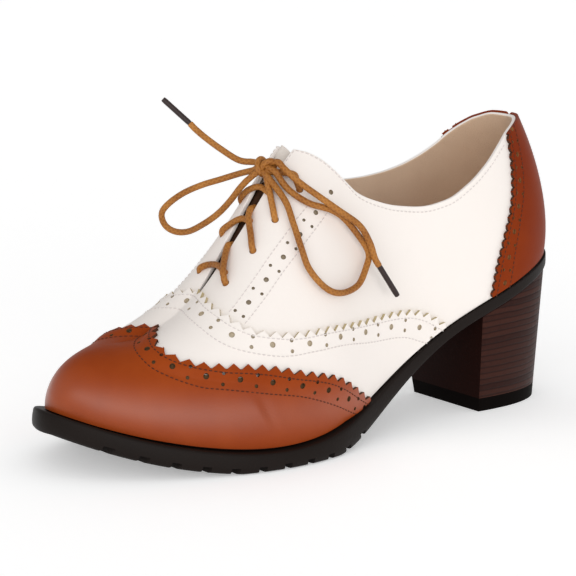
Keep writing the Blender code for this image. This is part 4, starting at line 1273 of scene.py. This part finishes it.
AGLET_LOOK = plain_look("aglet_look", rgb(38, 28, 27), rgb(58, 44, 42), 0.25)
for name, route in CORDS.items():
    centres = smooth_curve(route, 1.0)
    cord = tube(name + "_cord", centres, LACE / 2.0, CORD)
    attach(cord, "root")
    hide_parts(name)
    if name in AGLET_TIPS:
        line = np.linspace(centres[-1], AGLET_TIPS[name], AGLET_POINTS)
        taper = np.full(AGLET_POINTS, AGLET / 2.0)
        taper[[0, -1]] *= AGLET_END
        aglet = tube(name.replace("lace_end", "aglet") + "_sleeve", line, taper, AGLET_LOOK)
        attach(aglet, "root")
        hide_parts(name.replace("lace_end", "aglet"))
    else:
        tied = knot_parts if name == "lace_loop_inner" else []

# The studio: a plain pale floor, a bright even room, a soft front light and a low strip of lights.
# The camera keeps the angle and the lens of the photograph, and its frame is drawn in round the shoe.
CAMERA_TARGET = metres((130.0, 0.0, 55.0))
CAMERA_DISTANCE = 0.895
CAMERA_AZIMUTH = np.radians(141.97)
CAMERA_ELEVATION = np.radians(11.52)
CAMERA_ROLL = np.radians(1.0)
PHOTO_FOCAL = 1294.5            # in pixels of the photograph
PHOTO_CENTRE = (412.85, 361.08)
FRAME_CENTRE = (406.5, 355.5)   # the pixel of the photograph in the middle of the frame
ENLARGED = 1.7
FRAME_SIZE = 576.0
SENSOR = 36.0
FLOOR_HALF = 9.0
FLOOR_GLOW = 0.34
ROOM_LIGHT = 0.56
STRIP_LIGHTS = ((104.0, 27.0), (128.0, 19.0), (150.0, 12.0), (170.0, 8.0), (188.0, 5.0))

floor_mesh = bpy.data.meshes.new("floor")
floor_signs = ((-1.0, -1.0), (1.0, -1.0), (1.0, 1.0), (-1.0, 1.0))
floor_corners = [(x * FLOOR_HALF, y * FLOOR_HALF, 0.0) for x, y in floor_signs]
floor_mesh.from_pydata(floor_corners, [], [(0, 1, 2, 3)])
floor_look, floor_shader, floor_place = new_look(
    "pale_floor", Roughness=0.9, Specular_IOR_Level=0.1, Emission_Color=(1.0, 1.0, 1.0, 1.0),
    Emission_Strength=FLOOR_GLOW)
dress(floor_shader, noise(floor_place, 3.0).mix(rgb(250, 250, 250), rgb(252, 252, 252)))
floor = piece("floor", floor_mesh, floor_look)

world = bpy.data.worlds.new("bright_room")
bpy.context.scene.world = world
world.use_nodes = True
world.node_tree.nodes["Background"].inputs["Color"].default_value = (1.0, 1.0, 1.0, 1.0)
world.node_tree.nodes["Background"].inputs["Strength"].default_value = ROOM_LIGHT

back = np.array((
    np.sin(CAMERA_AZIMUTH) * np.cos(CAMERA_ELEVATION),
    -np.cos(CAMERA_AZIMUTH) * np.cos(CAMERA_ELEVATION),
    np.sin(CAMERA_ELEVATION),
))
level_right = np.array((np.cos(CAMERA_AZIMUTH), np.sin(CAMERA_AZIMUTH), 0.0))
level_up = np.cross(back, level_right)
right = np.cos(CAMERA_ROLL) * level_right + np.sin(CAMERA_ROLL) * level_up
up = np.cross(back, right)
camera_data = bpy.data.cameras.new("camera")
camera_data.sensor_width = SENSOR
camera_data.lens = PHOTO_FOCAL * ENLARGED / FRAME_SIZE * SENSOR
camera_data.shift_x = -(PHOTO_CENTRE[0] - FRAME_CENTRE[0]) * ENLARGED / FRAME_SIZE
camera_data.shift_y = (PHOTO_CENTRE[1] - FRAME_CENTRE[1]) * ENLARGED / FRAME_SIZE
camera_data.clip_end = 50.0
camera = bpy.data.objects.new("camera", camera_data)
bpy.context.scene.collection.objects.link(camera)
axes = Matrix((right.tolist(), up.tolist(), back.tolist())).transposed().to_4x4()
camera.matrix_world = Matrix.Translation(Vector(CAMERA_TARGET + back * CAMERA_DISTANCE)) @ axes
bpy.context.scene.camera = camera


def soft_light(name, azimuth, elevation, strength, spread):
    """A broad even light from far off, by its azimuth, elevation and spread in degrees."""
    data = bpy.data.lights.new(name, "SUN")
    data.energy = strength
    data.angle = np.radians(spread)
    lamp = bpy.data.objects.new(name, data)
    lamp.rotation_euler = (np.radians(90.0 - elevation), 0.0, np.radians(azimuth))
    bpy.context.scene.collection.objects.link(lamp)


soft_light("front_light", 145.0, 20.0, strength=0.5, spread=60.0)
for azimuth, elevation in STRIP_LIGHTS:
    soft_light(f"strip_light_{azimuth:.0f}", azimuth, elevation, strength=0.2, spread=20.0)
bpy.context.scene.view_settings.view_transform = "Standard"
